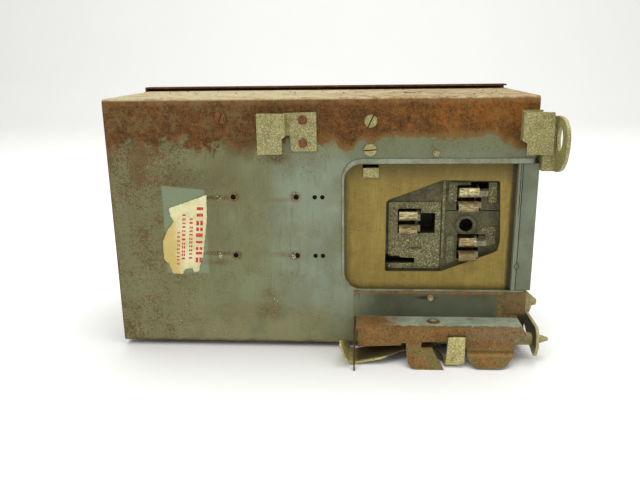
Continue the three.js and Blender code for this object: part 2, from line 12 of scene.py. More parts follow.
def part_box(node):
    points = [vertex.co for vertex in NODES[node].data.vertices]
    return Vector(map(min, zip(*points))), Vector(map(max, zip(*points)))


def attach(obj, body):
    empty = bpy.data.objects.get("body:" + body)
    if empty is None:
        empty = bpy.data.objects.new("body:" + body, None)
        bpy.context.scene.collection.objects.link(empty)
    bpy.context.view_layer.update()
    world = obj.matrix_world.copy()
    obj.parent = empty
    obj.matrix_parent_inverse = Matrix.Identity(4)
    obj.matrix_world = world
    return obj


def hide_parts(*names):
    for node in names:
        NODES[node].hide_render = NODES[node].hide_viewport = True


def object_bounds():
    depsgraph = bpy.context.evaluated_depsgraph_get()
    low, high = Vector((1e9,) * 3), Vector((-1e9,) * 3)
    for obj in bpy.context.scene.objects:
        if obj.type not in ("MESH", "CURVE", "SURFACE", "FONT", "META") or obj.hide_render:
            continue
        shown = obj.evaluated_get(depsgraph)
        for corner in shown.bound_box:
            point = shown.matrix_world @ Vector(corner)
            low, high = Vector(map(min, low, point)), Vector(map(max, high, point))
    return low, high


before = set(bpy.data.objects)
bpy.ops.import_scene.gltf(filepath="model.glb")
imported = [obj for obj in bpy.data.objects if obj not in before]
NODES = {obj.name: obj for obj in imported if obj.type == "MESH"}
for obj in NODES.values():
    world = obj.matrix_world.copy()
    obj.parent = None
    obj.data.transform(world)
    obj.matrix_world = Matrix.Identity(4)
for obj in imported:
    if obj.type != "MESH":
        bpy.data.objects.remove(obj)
CAD_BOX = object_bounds()
MM = 0.001
PHASES = ("a", "b", "c")


# ---- camera ----
CAMERA_PLACE = (0.04144, -0.60444, 0.15579)
YAW, PITCH, ROLL = 0.066, 0.272, -0.013  # radians, from looking along +Y
LENS, SENSOR = 36.78, 36


def make_camera():
    level = math.cos(PITCH)
    forward = Vector((-math.sin(YAW) * level, math.cos(YAW) * level, -math.sin(PITCH)))
    right = Vector((math.cos(YAW), math.sin(YAW), 0))
    up = right.cross(forward)
    side = right * math.cos(ROLL) + up * math.sin(ROLL)
    top = up * math.cos(ROLL) - right * math.sin(ROLL)
    data = bpy.data.cameras.new("camera")
    data.sensor_width = SENSOR
    data.lens = LENS
    data.clip_end = 30
    camera = bpy.data.objects.new("camera", data)
    bpy.context.scene.collection.objects.link(camera)
    turn = Matrix((side, top, -forward)).transposed().to_4x4()
    camera.matrix_world = Matrix.Translation(CAMERA_PLACE) @ turn
    bpy.context.scene.camera = camera


make_camera()


# ---- node materials ----
# overall cast of each finish, red, green and blue
TONES = {
    "weathered_paint_wrapper": (0.92, 0.92, 0.80),
    "painted_steel": (0.85, 0.84, 0.76),
    "cover_paint": (0.85, 0.84, 0.76),
    "rim_paint": (0.80, 0.80, 0.74),
    "channel_paint": (0.82, 0.84, 0.78),
    "rusted_hood": (0.99, 0.99, 0.79),
    "yellowed_zinc": (0.86, 0.84, 0.62),
    "zinc_screw": (0.92, 0.88, 0.62),
    "shaded_zinc_leaf": (1.20, 1.16, 0.82),
    "shaded_zinc_crank": (0.95, 0.92, 0.70),
    "fibre_board": (0.88, 0.87, 0.56),
    "granular_moulding": (0.92, 0.91, 0.62),
    "worn_copper": (0.98, 1.10, 0.92),
    "worn_jaw_a": (0.88, 0.96, 0.78),
    "worn_jaw_b": (0.90, 0.98, 0.80),
    "worn_jaw_c": (0.64, 0.66, 0.48),
    "aged_paper": (0.95, 1.0, 0.90),
}


class Surface:
    """A principled node material; each method adds a node and returns its output."""

    def __init__(self, name, metallic=0.0, ior=1.45):
        self.name = name
        self.material = bpy.data.materials.new(name)
        self.material.use_nodes = True
        self.tree = self.material.node_tree
        self.tree.nodes.clear()
        self.shader = self.add("ShaderNodeBsdfPrincipled")
        self.fill(self.shader, Metallic=metallic, IOR=ior)
        output = self.add("ShaderNodeOutputMaterial")
        self.link(self.shader.outputs[0], output.inputs[0])
        scale = self.add("ShaderNodeVectorMath", operation="SCALE")
        self.link(self.add("ShaderNodeTexCoord").outputs["Object"], scale.inputs[0])
        scale.inputs["Scale"].default_value = 1000
        self.place = scale.outputs[0]  # in millimetres, in the row frame
        split = self.add("ShaderNodeSeparateXYZ")
        self.link(self.place, split.inputs[0])
        self.x, self.y, self.z = split.outputs
        self.seed = 0

    def add(self, kind, **settings):
        made = self.tree.nodes.new(kind)
        for key, value in settings.items():
            setattr(made, key, value)
        return made

    def link(self, source, target):
        self.tree.links.new(source, target)

    def put(self, socket, value):
        if isinstance(value, bpy.types.NodeSocket):
            self.link(value, socket)
        elif isinstance(value, tuple) and len(value) == 3 and socket.type == "RGBA":
            socket.default_value = (*value, 1)
        else:
            socket.default_value = value

    def fill(self, made, **values):
        """Set a node's inputs by name, with _ for a space."""
        for key, value in values.items():
            self.put(made.inputs[key.replace("_", " ")], value)

    def calc(self, operation, a, b=0.0):
        made = self.add("ShaderNodeMath", operation=operation)
        for socket, value in zip(made.inputs, (a, b)):
            self.put(socket, value)
        return made.outputs[0]

    def times(self, *values):
        return self.chain("MULTIPLY", values)

    def plus(self, *values):
        return self.chain("ADD", values)

    def minus(self, a, b):
        return self.calc("SUBTRACT", a, b)

    def inverse(self, share):
        return self.calc("SUBTRACT", 1.0, share)

    def size_of(self, value):
        return self.calc("ABSOLUTE", value)

    def top_of(self, *values):
        return self.chain("MAXIMUM", values)

    def chain(self, operation, values):
        result = values[0]
        for value in values[1:]:
            result = self.calc(operation, result, value)
        return result

    def rise(self, value, low, high):
        """0 below low, 1 above high, smooth between; low may be the larger."""
        made = self.add("ShaderNodeMapRange", interpolation_type="SMOOTHSTEP", clamp=True)
        flip = low > high
        self.fill(made, Value=value, From_Min=min(low, high), From_Max=max(low, high),
                  To_Min=float(flip), To_Max=float(not flip))
        return made.outputs[0]

    def noise(self, size, detail=4.0, rough=0.6, stretch=(1, 1, 1)):
        """Noise of features about size mm across, drawn out by stretch."""
        self.seed += 1
        shift = self.add("ShaderNodeVectorMath", operation="MULTIPLY_ADD")
        self.put(shift.inputs[0], self.place)
        shift.inputs[1].default_value = [1 / s for s in stretch]
        shift.inputs[2].default_value = (37.1 * self.seed, -53.7 * self.seed, 91.3 * self.seed)
        made = self.add("ShaderNodeTexNoise")
        self.fill(made, Vector=shift.outputs[0], Scale=1 / size, Detail=detail, Roughness=rough)
        return made.outputs["Fac"]

    def cells(self, size):
        """Distance to the middle of the nearest of random cells about size mm across."""
        self.seed += 1
        shift = self.add("ShaderNodeVectorMath", operation="ADD")
        self.put(shift.inputs[0], self.place)
        shift.inputs[1].default_value = (17.3 * self.seed, 29.9 * self.seed, -7.7 * self.seed)
        made = self.add("ShaderNodeTexVoronoi")
        self.fill(made, Vector=shift.outputs[0], Scale=1 / size)
        return made.outputs["Distance"]

    def mix(self, share, a, b):
        made = self.add("ShaderNodeMix", data_type="RGBA")
        self.put(made.inputs[0], share)
        self.put(made.inputs[6], a)
        self.put(made.inputs[7], b)
        return made.outputs[2]

    def lay(self, under, over, where, share):
        """The colour over laid on the colour under, at this share of where."""
        return self.mix(self.times(where, share), under, over)

    def scale_colour(self, colour, factor):
        made = self.add("ShaderNodeMix", data_type="RGBA", blend_type="MULTIPLY")
        made.inputs[0].default_value = 1
        self.put(made.inputs[6], colour)
        self.put(made.inputs[7], factor)
        return made.outputs[2]

    def wobble(self, reach, *noise):
        """Noise centred on zero, through reach in all."""
        return self.times(self.plus(self.noise(*noise), -0.5), reach)

    def sway(self, value, reach, *noise):
        return self.plus(value, self.wobble(reach, *noise))

    def spots(self, low, high, *noise):
        """1 where the noise is above high, 0 where it is below low."""
        return self.rise(self.noise(*noise), low, high)

    def blot(self, x, z, rx, rz, ragged=0.0, soft=0.5):
        """1 inside an ellipse on the X,Z plane, fading over its rim."""
        u = self.times(self.plus(self.x, -x), 1 / rx)
        v = self.times(self.plus(self.z, -z), 1 / rz)
        far = self.calc("SQRT", self.plus(self.times(u, u), self.times(v, v)))
        if ragged:
            far = self.plus(far, self.times(self.plus(self.noise(min(rx, rz) * 0.8), -0.5), ragged))
        return self.rise(far, 1 + soft, 1 - soft)

    def edges(self, radius):
        """1 near the sharp edges of the mesh, 0 on its flats."""
        bevel = self.add("ShaderNodeBevel", samples=4)
        bevel.inputs["Radius"].default_value = radius * MM
        dot = self.add("ShaderNodeVectorMath", operation="DOT_PRODUCT")
        self.link(bevel.outputs[0], dot.inputs[0])
        self.link(self.add("ShaderNodeNewGeometry").outputs["Normal"], dot.inputs[1])
        return self.rise(dot.outputs["Value"], 0.99, 0.75)

    def bump(self, height, depth):
        """Height 0..1 stands for depth mm of relief."""
        made = self.add("ShaderNodeBump")
        self.fill(made, Distance=depth * MM, Height=height)
        self.link(made.outputs[0], self.shader.inputs["Normal"])

    def finish(self, colour, roughness):
        tone = TONES.get(self.name, (1, 1, 1))
        self.fill(self.shader, Base_Color=self.scale_colour(colour, tone), Roughness=roughness)
        return self.material


# ---- colours, linear ----
CLEAN_PAINT = (0.268, 0.322, 0.272)
PAINT = (0.228, 0.256, 0.158)
GREY_PAINT = (0.205, 0.218, 0.128)
OLIVE = (0.185, 0.168, 0.068)
BROWN = (0.086, 0.033, 0.007)
RED_BROWN = (0.14, 0.048, 0.01)
ORANGE = (0.32, 0.112, 0.012)
DARK_RUST = (0.034, 0.015, 0.006)
OCHRE = (0.31, 0.185, 0.055)
DUST = (0.5, 0.435, 0.29)
RUST_DUST = (0.2, 0.096, 0.028)
# paint of the rear wall
PAINT_CLOUD = (0.15, 0.15, 0.085)
PAINT_SHADOW_PATCH = (0.12, 0.112, 0.058)
PAINT_WORN = (0.15, 0.14, 0.066)
PAINT_STREAK = (0.11, 0.105, 0.062)
PAINT_SCUFF = (0.33, 0.37, 0.3)
PAINT_SHADE = (0.15, 0.165, 0.105)
PAINT_CHALKED = (0.275, 0.255, 0.14)
PAINT_COVERED = (0.232, 0.29, 0.205)
PAINT_SPECK = (0.085, 0.07, 0.036)
PAINT_GLINT = (0.4, 0.42, 0.32)
# rust band, top wall, underside and inside
RUST_FRINGE = (0.25, 0.15, 0.052)
RUST_OCHRE = (0.27, 0.125, 0.032)
RUST_POWDER = (0.4, 0.29, 0.15)
RUST_FILM = (0.175, 0.138, 0.062)
RUST_WASH = (0.195, 0.135, 0.052)
RUST_CROWN = (0.27, 0.15, 0.06)
RUST_SHADOW = (0.04, 0.024, 0.013)
TOP_RUST = (0.2, 0.105, 0.04)
TOP_RUST_PALE = (0.36, 0.23, 0.105)
TOP_SCAR = (0.17, 0.095, 0.038)
TOP_DUST = (0.62, 0.57, 0.43)
UNDERSIDE = (0.12, 0.12, 0.08)
INSIDE_PAINT = (0.215, 0.24, 0.16)
HOLE_WALL_SHADE = (0.01, 0.009, 0.006)
# end plates, rim and cover
PAINT_FLECK = (0.08, 0.07, 0.04)
PAINT_RUBBED = (0.4, 0.42, 0.31)
PAINT_HALO = (0.15, 0.11, 0.045)
# end channel
CHANNEL_DARK = (0.15, 0.168, 0.11)
CHANNEL_PALE = (0.205, 0.228, 0.158)
CHANNEL_HEM = (0.26, 0.28, 0.195)
CHANNEL_SEAM = (0.022, 0.018, 0.01)
# hood, its shelf and its back plate
HOOD_RUST = (0.175, 0.086, 0.03)
HOOD_RUST_PALE = (0.25, 0.138, 0.058)
HOOD_ORANGE = (0.3, 0.15, 0.044)
HOOD_DARK = (0.11, 0.06, 0.026)
HOOD_GREY = (0.215, 0.16, 0.1)
HOOD_OLIVE = (0.165, 0.155, 0.062)
HOOD_POWDER = (0.44, 0.31, 0.17)
HOOD_CRUMB = (0.72, 0.66, 0.5)
HOOD_EDGE = (0.33, 0.18, 0.062)
HOOD_FOLD_SHADE = (0.09, 0.042, 0.015)
HOOD_LIP_HIGHLIGHT = (0.35, 0.2, 0.06)
SHELF_PAINT = (0.27, 0.32, 0.285)
SHELF_PAINT_PALE = (0.37, 0.44, 0.4)
SHELF_SPECK = (0.14, 0.12, 0.07)
SHELF_RING = (0.1, 0.045, 0.018)
BACK_DARK = (0.062, 0.07, 0.048)
BACK_PALE = (0.094, 0.102, 0.072)
BACK_LIT = (0.19, 0.212, 0.165)
BACK_CENTRE = (0.1, 0.112, 0.09)
BACK_DRIP = (0.15, 0.066, 0.02)
BACK_TOP = (0.26, 0.12, 0.035)
BACK_NOTCH = (0.03, 0.02, 0.012)
BARE_STEEL = (0.12, 0.082, 0.03)
BARE_STEEL_PALE = (0.2, 0.142, 0.058)
# zinc plate
ZINC_DARK = (0.255, 0.225, 0.088)
ZINC_YELLOW = (0.35, 0.312, 0.13)
ZINC_GREY = (0.27, 0.258, 0.15)
ZINC_BLOOM = (0.8, 0.76, 0.51)
ZINC_PIT = (0.085, 0.068, 0.028)
ZINC_STREAK = (0.5, 0.47, 0.28)
ZINC_WORN = (0.17, 0.085, 0.03)
ZINC_STAIN = (0.155, 0.095, 0.038)
ZINC_EDGE = (0.62, 0.57, 0.33)
ZINC_SHADE = (0.06, 0.042, 0.02)
# jaws, blades and clips
COPPER_DULL = (0.2, 0.105, 0.034)
COPPER_BROWN = (0.38, 0.25, 0.105)
COPPER_BRIGHT = (0.95, 0.8, 0.52)
COPPER_LOWER = (0.26, 0.17, 0.075)
COPPER_GAP_SHADE = (0.11, 0.048, 0.012)
COPPER_CREST_HIGHLIGHT = (1.0, 0.93, 0.7)
COPPER_SCRATCH = (0.12, 0.06, 0.022)
COPPER_REAR_SHADE = (0.055, 0.03, 0.012)
# fibre board
FIBRE_DARK = (0.275, 0.192, 0.05)
FIBRE_PALE = (0.345, 0.25, 0.074)
FIBRE_GRAIN = (0.19, 0.128, 0.03)
FIBRE_WEAVE = (0.4, 0.31, 0.12)
FIBRE_DARKENED = (0.09, 0.062, 0.02)
FIBRE_GAP_SHADE = (0.035, 0.026, 0.012)
FIBRE_FLECK = (0.06, 0.04, 0.02)
FIBRE_PIT = (0.05, 0.035, 0.018)
FIBRE_SMEAR = (0.13, 0.095, 0.03)
FIBRE_CUT_SHADE = (0.04, 0.028, 0.012)
# stab block
MOULD_DARK = (0.062, 0.056, 0.03)
MOULD_PALE = (0.112, 0.102, 0.056)
MOULD_GRAIN = (0.42, 0.395, 0.245)
MOULD_SHARD = (0.64, 0.61, 0.42)
MOULD_DUSTY = (0.3, 0.28, 0.165)
MOULD_PIT = (0.02, 0.018, 0.01)
MOULD_DEEP_SHADE = (0.012, 0.011, 0.008)
MOULD_EDGE = (0.33, 0.31, 0.2)
# switch base and rotor bar
PLASTIC_FLECK = (0.2, 0.17, 0.11)
PLASTIC_DUST = (0.16, 0.13, 0.085)
HOLE_SHADE_BLACK = (0.004, 0.004, 0.003)
# fuses
TUBE_DARK = (0.24, 0.125, 0.06)
TUBE_PALE = (0.31, 0.175, 0.085)
TUBE_GRAIN = (0.15, 0.07, 0.03)
BRASS = (0.48, 0.31, 0.1)
BRASS_DULL = (0.36, 0.22, 0.08)
BRASS_STAIN = (0.14, 0.09, 0.05)
TUBE_SEAM = (0.05, 0.03, 0.02)
# label
PAPER_DARK = (0.68, 0.58, 0.33)
PAPER_PALE = (0.82, 0.735, 0.49)
PAPER_TORN = (0.6, 0.4, 0.1)
PAPER_STAIN = (0.5, 0.38, 0.15)
PAPER_SPECK = (0.36, 0.26, 0.11)
INK_RED = (0.56, 0.02, 0.035)
INK_WORN = (0.78, 0.52, 0.32)
# weld spatter
BEAD_DARK = (0.22, 0.2, 0.11)
BEAD_PALE = (0.62, 0.6, 0.42)
# backdrop
BACKDROP_DARK = (0.9, 0.9, 0.885)
BACKDROP_PALE = (0.93, 0.93, 0.915)


def rust_colour(s, orange=0.0):
    """Brown rust with orange bloom and dark scabs; orange adds to the bloom."""
    base = s.mix(s.spots(0.38, 0.62, 22, 5, 0.65), BROWN, RED_BROWN)
    base = s.lay(base, RUST_DUST, s.spots(0.46, 0.62, 4, 6, 0.85), 0.55)
    blotches = s.noise(8, 6, 0.72)
    bloom = s.rise(s.plus(blotches, s.times(orange, 0.16) if orange else 0.0), 0.54, 0.70)
    base = s.lay(base, ORANGE, bloom, 0.6)
    scabs = s.spots(0.52, 0.61, 2.6, 5, 0.82)
    base = s.lay(base, DARK_RUST, scabs, 0.8)
    grit = s.spots(0.58, 0.68, 0.9, 3, 0.8)
    return s.lay(base, OCHRE, grit, 0.4)


def clusters(s, size, spread, cover):
    """Ragged spots about size mm across, gathered in patches about spread mm across."""
    spots = s.rise(s.noise(size, 5, 0.72), 0.60 - cover * 0.14, 0.66 - cover * 0.14)
    return s.times(spots, s.rise(s.noise(spread, 4, 0.6), 0.50 - cover * 0.2, 0.62 - cover * 0.2))


def pits(s, size, share=0.5):
    """Separate dark pits, one in each of a random share of cells."""
    hole = s.rise(s.plus(s.cells(size), s.times(s.noise(size * 0.5, 2), 0.25)), 0.30, 0.20)
    return s.times(hole, s.rise(s.noise(size * 6, 4, 0.65), 0.62 - share * 0.3, 0.68 - share * 0.3))


def rear_paint(s, left, patch):
    """Blue-grey paint, cleaner near the plug-in opening, under an olive film elsewhere."""
    paint = s.mix(s.spots(0.35, 0.65, 55, 4, 0.55), PAINT, GREY_PAINT)
    near = s.sway(s.x, 110, 50, 4)
    clean = s.times(s.rise(near, -75, -5), s.rise(s.plus(s.z, s.times(s.noise(30), 30)), 100, 70))
    clean = s.times(clean, s.rise(s.z, -118, -60))
    paint = s.lay(paint, CLEAN_PAINT, clean, 0.8)
    runs = s.spots(0.47, 0.64, 9, 5, 0.62, (1, 1, 9))
    film = s.top_of(s.times(s.spots(0.44, 0.62, 26, 5, 0.68), 0.55), s.times(runs, 0.35),
                    s.times(s.rise(near, -60, -150), 0.5))
    film = s.times(film, s.inverse(s.times(clean, 0.55)))
    paint = s.mix(film, paint, OLIVE)
    cloud = s.spots(0.42, 0.66, 38, 5, 0.6, (1, 1, 1.6))
    paint = s.lay(paint, PAINT_CLOUD, cloud, 0.5)
    # painted shadow above the label
    paint = s.lay(paint, PAINT_SHADOW_PATCH, s.blot(-118, 44, 34, 13, 0.8, 0.6), 0.6)
    middle = s.times(s.blot(-98, 14, 34, 66, 1.0, 0.5), s.spots(0.36, 0.62, 12, 6, 0.75, (1, 1, 3)))
    paint = s.lay(paint, PAINT_WORN, middle, 0.55)
    streaks = s.times(s.spots(0.53, 0.66, 2.6, 5, 0.8, (1, 1, 14)), s.spots(0.40, 0.56, 40, 4))
    paint = s.lay(paint, PAINT_STREAK, streaks, 0.40)
    scuffs = s.times(s.spots(0.58, 0.68, 2.2, 5, 0.8, (10, 1, 1)), s.rise(s.z, -10, -60))
    paint = s.lay(paint, PAINT_SCUFF, scuffs, 0.35)
    strip = s.times(s.rise(s.z, 60, 66), s.rise(s.x, 18, 34))
    paint = s.lay(paint, PAINT_SHADE, strip, 0.6)
    low = s.times(s.rise(s.z, -60, -116), s.spots(0.36, 0.6, 24, 5, 0.65))
    paint = s.lay(paint, PAINT_CHALKED, low, 0.75)
    paint = s.lay(paint, PAINT_COVERED, patch, 0.85)
    fine = s.spots(0.54, 0.70, 0.8, 3, 0.85)
    paint = s.mix(s.times(fine, s.plus(0.22, s.times(left, 0.35))), paint, PAINT_SPECK)
    pale = s.spots(0.57, 0.66, 1.0, 4, 0.88)
    return s.mix(s.times(pale, s.plus(0.20, s.times(left, 0.15))), paint, PAINT_GLINT)


# marks on the rear face, in mm: x, z, half-width, half-height, raggedness, softness, share
TONGUES = [  # where the rust band reaches lower
    (-66, 90, 30, 19, 0.9, 0.5, 0.9),
    (4, 92, 14, 12, 1.0, 0.5, 0.9),
]
STAINS = [  # beside the holes and screws, drawn out sideways
    (-96, 28.4, 16, 2.2, 1.0, 0.6, 1),
    (-99, -27, 17, 2.0, 1.0, 0.6, 1),
    (-79.5, 29, 5.0, 4.6, 0.8, 0.4, 1),
    (-79.5, -29, 4.8, 4.4, 0.8, 0.4, 1),
    (-22, 29, 5.0, 4.8, 0.9, 0.4, 1),
    (-23, -29, 5.8, 4.4, 0.9, 0.4, 1),
    (-34, -28, 12, 2.2, 1.2, 0.8, 0.55),
    (-36, 26, 12, 2.0, 1.2, 0.8, 0.5),
    (-48, -86, 13, 9, 1.6, 0.8, 0.75),
    (-50, -70, 8, 7, 1.6, 0.8, 0.6),
    (-99, -36, 13, 3.0, 1.2, 0.8, 0.6),
    (-38, 66, 9, 5, 1.3, 0.7, 1),
]


def marks(s, rows):
    found = []
    for *spot, share in rows:
        mark = s.blot(*spot)
        found.append(s.times(mark, share) if share < 1 else mark)
    return s.top_of(*found)


def painted_wrapper():
    """Blue-grey paint with a rust band along its top, dust on the top wall and freckles of rust."""
    s = Surface("weathered_paint_wrapper", 0.0, 1.32)
    left = s.rise(s.sway(s.x, 60, 30, 4), -75, -165)
    # rectangle kept clean by a label that has torn away
    patch = s.times(s.times(s.rise(s.x, -150.8, -148.6), s.rise(s.x, -107, -110)),
                    s.times(s.rise(s.z, -49, -46), s.rise(s.plus(s.z, s.times(s.x, 0.10)), 26, 24)))
    patch = s.times(patch, s.rise(s.y, 3, 1))
    bare = s.inverse(s.times(patch, 0.9))
    paint = rear_paint(s, left, patch)
    gathered = s.plus(s.times(left, 0.10),
                      s.times(s.rise(s.plus(s.z, s.times(left, 30)), 30, 110), 0.07))
    gathered = s.sway(gathered, 0.30, 22, 4)
    fine_spots = s.rise(s.plus(s.noise(1.4, 4, 0.85), gathered), 0.63, 0.66)
    coarse_spots = s.rise(s.plus(s.noise(3.6, 5, 0.85), gathered), 0.67, 0.70)
    freckle = s.top_of(s.times(fine_spots, 0.85), s.times(coarse_spots, 0.85),
                       s.times(pits(s, 2.2, 0.3), 0.95))
    freckle = s.times(freckle, bare)
    # rust band along the top, with a hard ragged lower edge near the opening
    wander = s.sway(s.wobble(26, 34, 5, 0.6), 12, 7, 4, 0.7, (1, 1, 2))
    dip = s.times(s.rise(s.size_of(s.plus(s.x, -28)), 14, 2), 9)
    corner_dip = s.times(s.rise(s.x, 160, 188), 8)
    level = s.plus(s.z, wander, s.plus(dip, corner_dip))
    eaten = s.sway(s.noise(6, 6, 0.8), 0.5, 26, 4)
    soft_edge = s.rise(s.plus(eaten, s.times(s.plus(level, -84), 0.0125)), 0.34, 0.54)
    band = s.plus(s.times(s.rise(s.x, 2, -26), soft_edge),
                  s.times(s.rise(s.x, -26, 2), s.rise(level, 82.0, 84.2)))
    tongues = marks(s, TONGUES)
    stains = marks(s, STAINS)
    stains = s.times(stains, 0.85, s.spots(0.36, 0.56, 1.8, 5, 0.82))
    corner = s.times(s.rise(s.sway(s.x, 16, 10), 176, 179),
                     s.rise(s.z, -60, -66))
    hem = s.rise(s.plus(s.z, s.times(s.noise(12, 4), 9)), -112.5, -116)
    ends = s.rise(s.plus(s.size_of(s.x), s.times(s.noise(8, 4), 6)), 200.5, 203.5)
    rust = s.top_of(band, s.times(tongues, 0.95), stains, s.times(corner, 0.8), s.times(hem, 0.75),
                    s.times(ends, 0.75), s.times(freckle, 0.85))
    heat = s.times(s.rise(s.x, 40, 150), s.rise(s.z, 80, 104))
    rear = s.mix(rust, paint, rust_colour(s, heat))
    fringe = s.times(s.rise(level, 92, 84.5), s.rise(level, 82, 83.5))
    fringe = s.times(fringe, s.rise(s.x, -24, 30))
    rear = s.lay(rear, RUST_FRINGE, fringe, 0.6)
    ochre = s.times(s.spots(0.48, 0.66, 17, 6, 0.75),
                    s.times(s.rise(level, 82, 86), s.rise(s.x, 20, 80)))
    rear = s.lay(rear, RUST_OCHRE, ochre, 0.4)
    dust = s.times(s.spots(0.57, 0.64, 1.0, 4, 0.9), s.rise(level, 84, 92))
    rear = s.lay(rear, RUST_POWDER, dust, 0.55)
    worn = s.times(s.spots(0.47, 0.60, 9, 6, 0.8), s.rise(level, 78, 92))
    worn = s.times(worn, s.times(s.rise(s.x, 30, -60), 0.62))
    rear = s.mix(worn, rear, RUST_FILM)
    corner_wash = s.times(corner, s.spots(0.36, 0.56, 6, 5, 0.7))
    rear = s.lay(rear, RUST_WASH, corner_wash, 0.85)
    crown = s.times(s.rise(s.z, 113, 117.5), s.spots(0.34, 0.56, 9, 5, 0.7))
    rear = s.lay(rear, RUST_CROWN, crown, 0.6)
    dull = s.times(s.rise(s.x, 181, 190), s.rise(s.z, -84, -90))
    rear = s.lay(rear, RUST_SHADOW, dull, 0.9)
    # top wall: rust under settled pale dust, thickest towards the left
    scratched = s.noise(12, 7, 0.82, (1.6, 1, 1))
    dusty = s.rise(s.plus(scratched, s.times(s.rise(s.x, 130, -80), 0.09)), 0.43, 0.62)
    rusted = s.mix(s.spots(0.4, 0.6, 10, 6, 0.8), TOP_RUST, TOP_RUST_PALE)
    upper = s.mix(dusty, rusted, DUST)
    upper = s.lay(upper, TOP_SCAR, s.spots(0.52, 0.60, 1.6, 5, 0.88), 0.65)
    upper = s.lay(upper, TOP_DUST, s.spots(0.54, 0.62, 1.3, 4, 0.88), 0.6)
    colour = s.mix(s.rise(s.z, 118.6, 120.2), rear, upper)
    under = s.mix(s.spots(0.42, 0.6, 26, 5, 0.65), UNDERSIDE, BROWN)
    colour = s.mix(s.rise(s.z, -119, -120.6), colour, under)
    inner = s.lay(INSIDE_PAINT, BROWN, s.spots(0.55, 0.7, 24, 5, 0.6), 0.6)
    inside = s.times(s.rise(s.y, 1.2, 1.49), s.rise(s.size_of(s.z), 119.8, 119.4))
    colour = s.mix(inside, colour, inner)
    # painted shade: the walls of the holes and the rear wall's inner face go nearly black
    wall = s.times(s.rise(s.y, 0.02, 0.10), s.rise(s.size_of(s.z), 118, 117))
    wall = s.times(wall, s.rise(s.x, 18, 10))
    colour = s.lay(colour, HOLE_WALL_SHADE, wall, 0.93)
    rough = s.plus(0.46, s.times(s.top_of(rust, s.rise(s.z, 118.6, 120.2)), 0.40))
    rough = s.sway(rough, 0.2, 3)
    # the relief follows the band and the left end, not every stain: Cycles drops the whole
    # shader when the rust mask is under the bump
    scaly = s.plus(0.15, s.top_of(s.rise(s.z, 80, 90), s.times(left, 0.6)))
    relief = s.plus(s.times(s.noise(0.8, 3, 0.75), 0.35), s.times(s.noise(2.2, 5, 0.75), scaly))
    s.bump(s.plus(relief, s.times(s.noise(90, 2), 2.5)), 0.40)
    return s.finish(colour, rough)


def painted_steel(name, rust_share, rim=(120, 205), tint=1.0, pale=0.0):
    """Paint rusted through, most beyond |Z| and |X| of rim; tint brightens it, pale rubs it."""
    s = Surface(name, 0.0, 1.38)
    tone = s.spots(0.35, 0.65, 30, 5, 0.6)
    paint = s.mix(tone, tuple(c * tint for c in GREY_PAINT), tuple(c * tint for c in CLEAN_PAINT))
    runs = s.times(s.spots(0.48, 0.64, 8, 5, 0.66, (1, 1, 8)), 0.5)
    film = s.top_of(s.times(s.spots(0.46, 0.62, 24, 5, 0.7), 0.55), runs)
    paint = s.mix(film, paint, OLIVE)
    paint = s.lay(paint, PAINT_FLECK, s.spots(0.55, 0.72, 0.9, 3, 0.8), 0.4)
    if pale:
        paint = s.mix(s.times(s.spots(0.4, 0.6, 9, 5, 0.7), pale), paint, PAINT_RUBBED)
    outer = s.top_of(s.rise(s.size_of(s.z), rim[0] - 26, rim[0]),
                     s.rise(s.size_of(s.x), rim[1] - 26, rim[1]))
    spread = s.plus(s.times(outer, 0.22), s.times(s.rise(s.z, 60, 120), 0.05))
    eaten = s.plus(s.sway(s.noise(20, 6, 0.78), 0.2, 3, 4, 0.8), spread)
    patches = s.rise(eaten, 0.74 - rust_share * 0.3, 0.80 - rust_share * 0.3)
    worn = s.times(s.edges(1.0), s.spots(0.42, 0.56, 6))
    specks = s.rise(s.plus(s.noise(2.2, 5, 0.85), s.times(spread, 0.4)), 0.64, 0.68)
    rust = s.top_of(patches, s.times(worn, 0.8), s.times(specks, 0.85), pits(s, 2.4, 0.3))
    halo = s.rise(eaten, 0.66 - rust_share * 0.3, 0.76 - rust_share * 0.3)
    paint = s.lay(paint, PAINT_HALO, halo, 0.6)
    s.bump(s.plus(s.times(s.noise(0.9, 3), 0.25),
                  s.times(s.noise(2.4, 5, 0.75), s.plus(patches, 0.2))), 0.3)
    return s.finish(s.mix(rust, paint, rust_colour(s)), s.plus(0.46, s.times(rust, 0.38)))


def channel_paint():
    """The end channel: cleaner paint, with the dark split seam of its folded hem."""
    s = Surface("channel_paint", 0.0, 1.46)
    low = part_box("end_channel")[0].x / MM
    paint = s.mix(s.spots(0.35, 0.65, 24, 5, 0.6), CHANNEL_DARK, CHANNEL_PALE)
    paint = s.lay(paint, PAINT_FLECK, s.spots(0.55, 0.72, 0.9, 3, 0.8), 0.35)
    hem = s.rise(s.x, low + 3.7, low + 3.4)
    paint = s.lay(paint, CHANNEL_HEM, hem, 0.45)
    wiggle = s.wobble(1.6, 7, 4, 0.7)
    across = s.size_of(s.plus(s.x, -(low + 3.9), wiggle))
    along = s.size_of(s.plus(s.z, 38.5))
    diamond = s.top_of(s.minus(2.4, s.times(along, 0.55)), 0.0)
    seam = s.rise(s.size_of(s.minus(across, diamond)), 0.60, 0.25)
    upper = s.times(s.rise(s.size_of(s.plus(s.x, -(low + 2.2), wiggle)), 0.5, 0.2),
                    s.rise(s.z, 8, 18))
    lines = s.times(s.top_of(seam, upper), s.rise(s.y, 0.6, 0.4))
    rust = s.top_of(s.times(s.edges(0.8), s.spots(0.42, 0.56, 6), 0.7), pits(s, 2.4, 0.1))
    colour = s.mix(rust, paint, rust_colour(s))
    colour = s.lay(colour, CHANNEL_SEAM, lines, 0.9)
    s.bump(s.minus(s.times(s.noise(1.2, 4), 0.3), lines), 0.35)
    return s.finish(colour, 0.5)


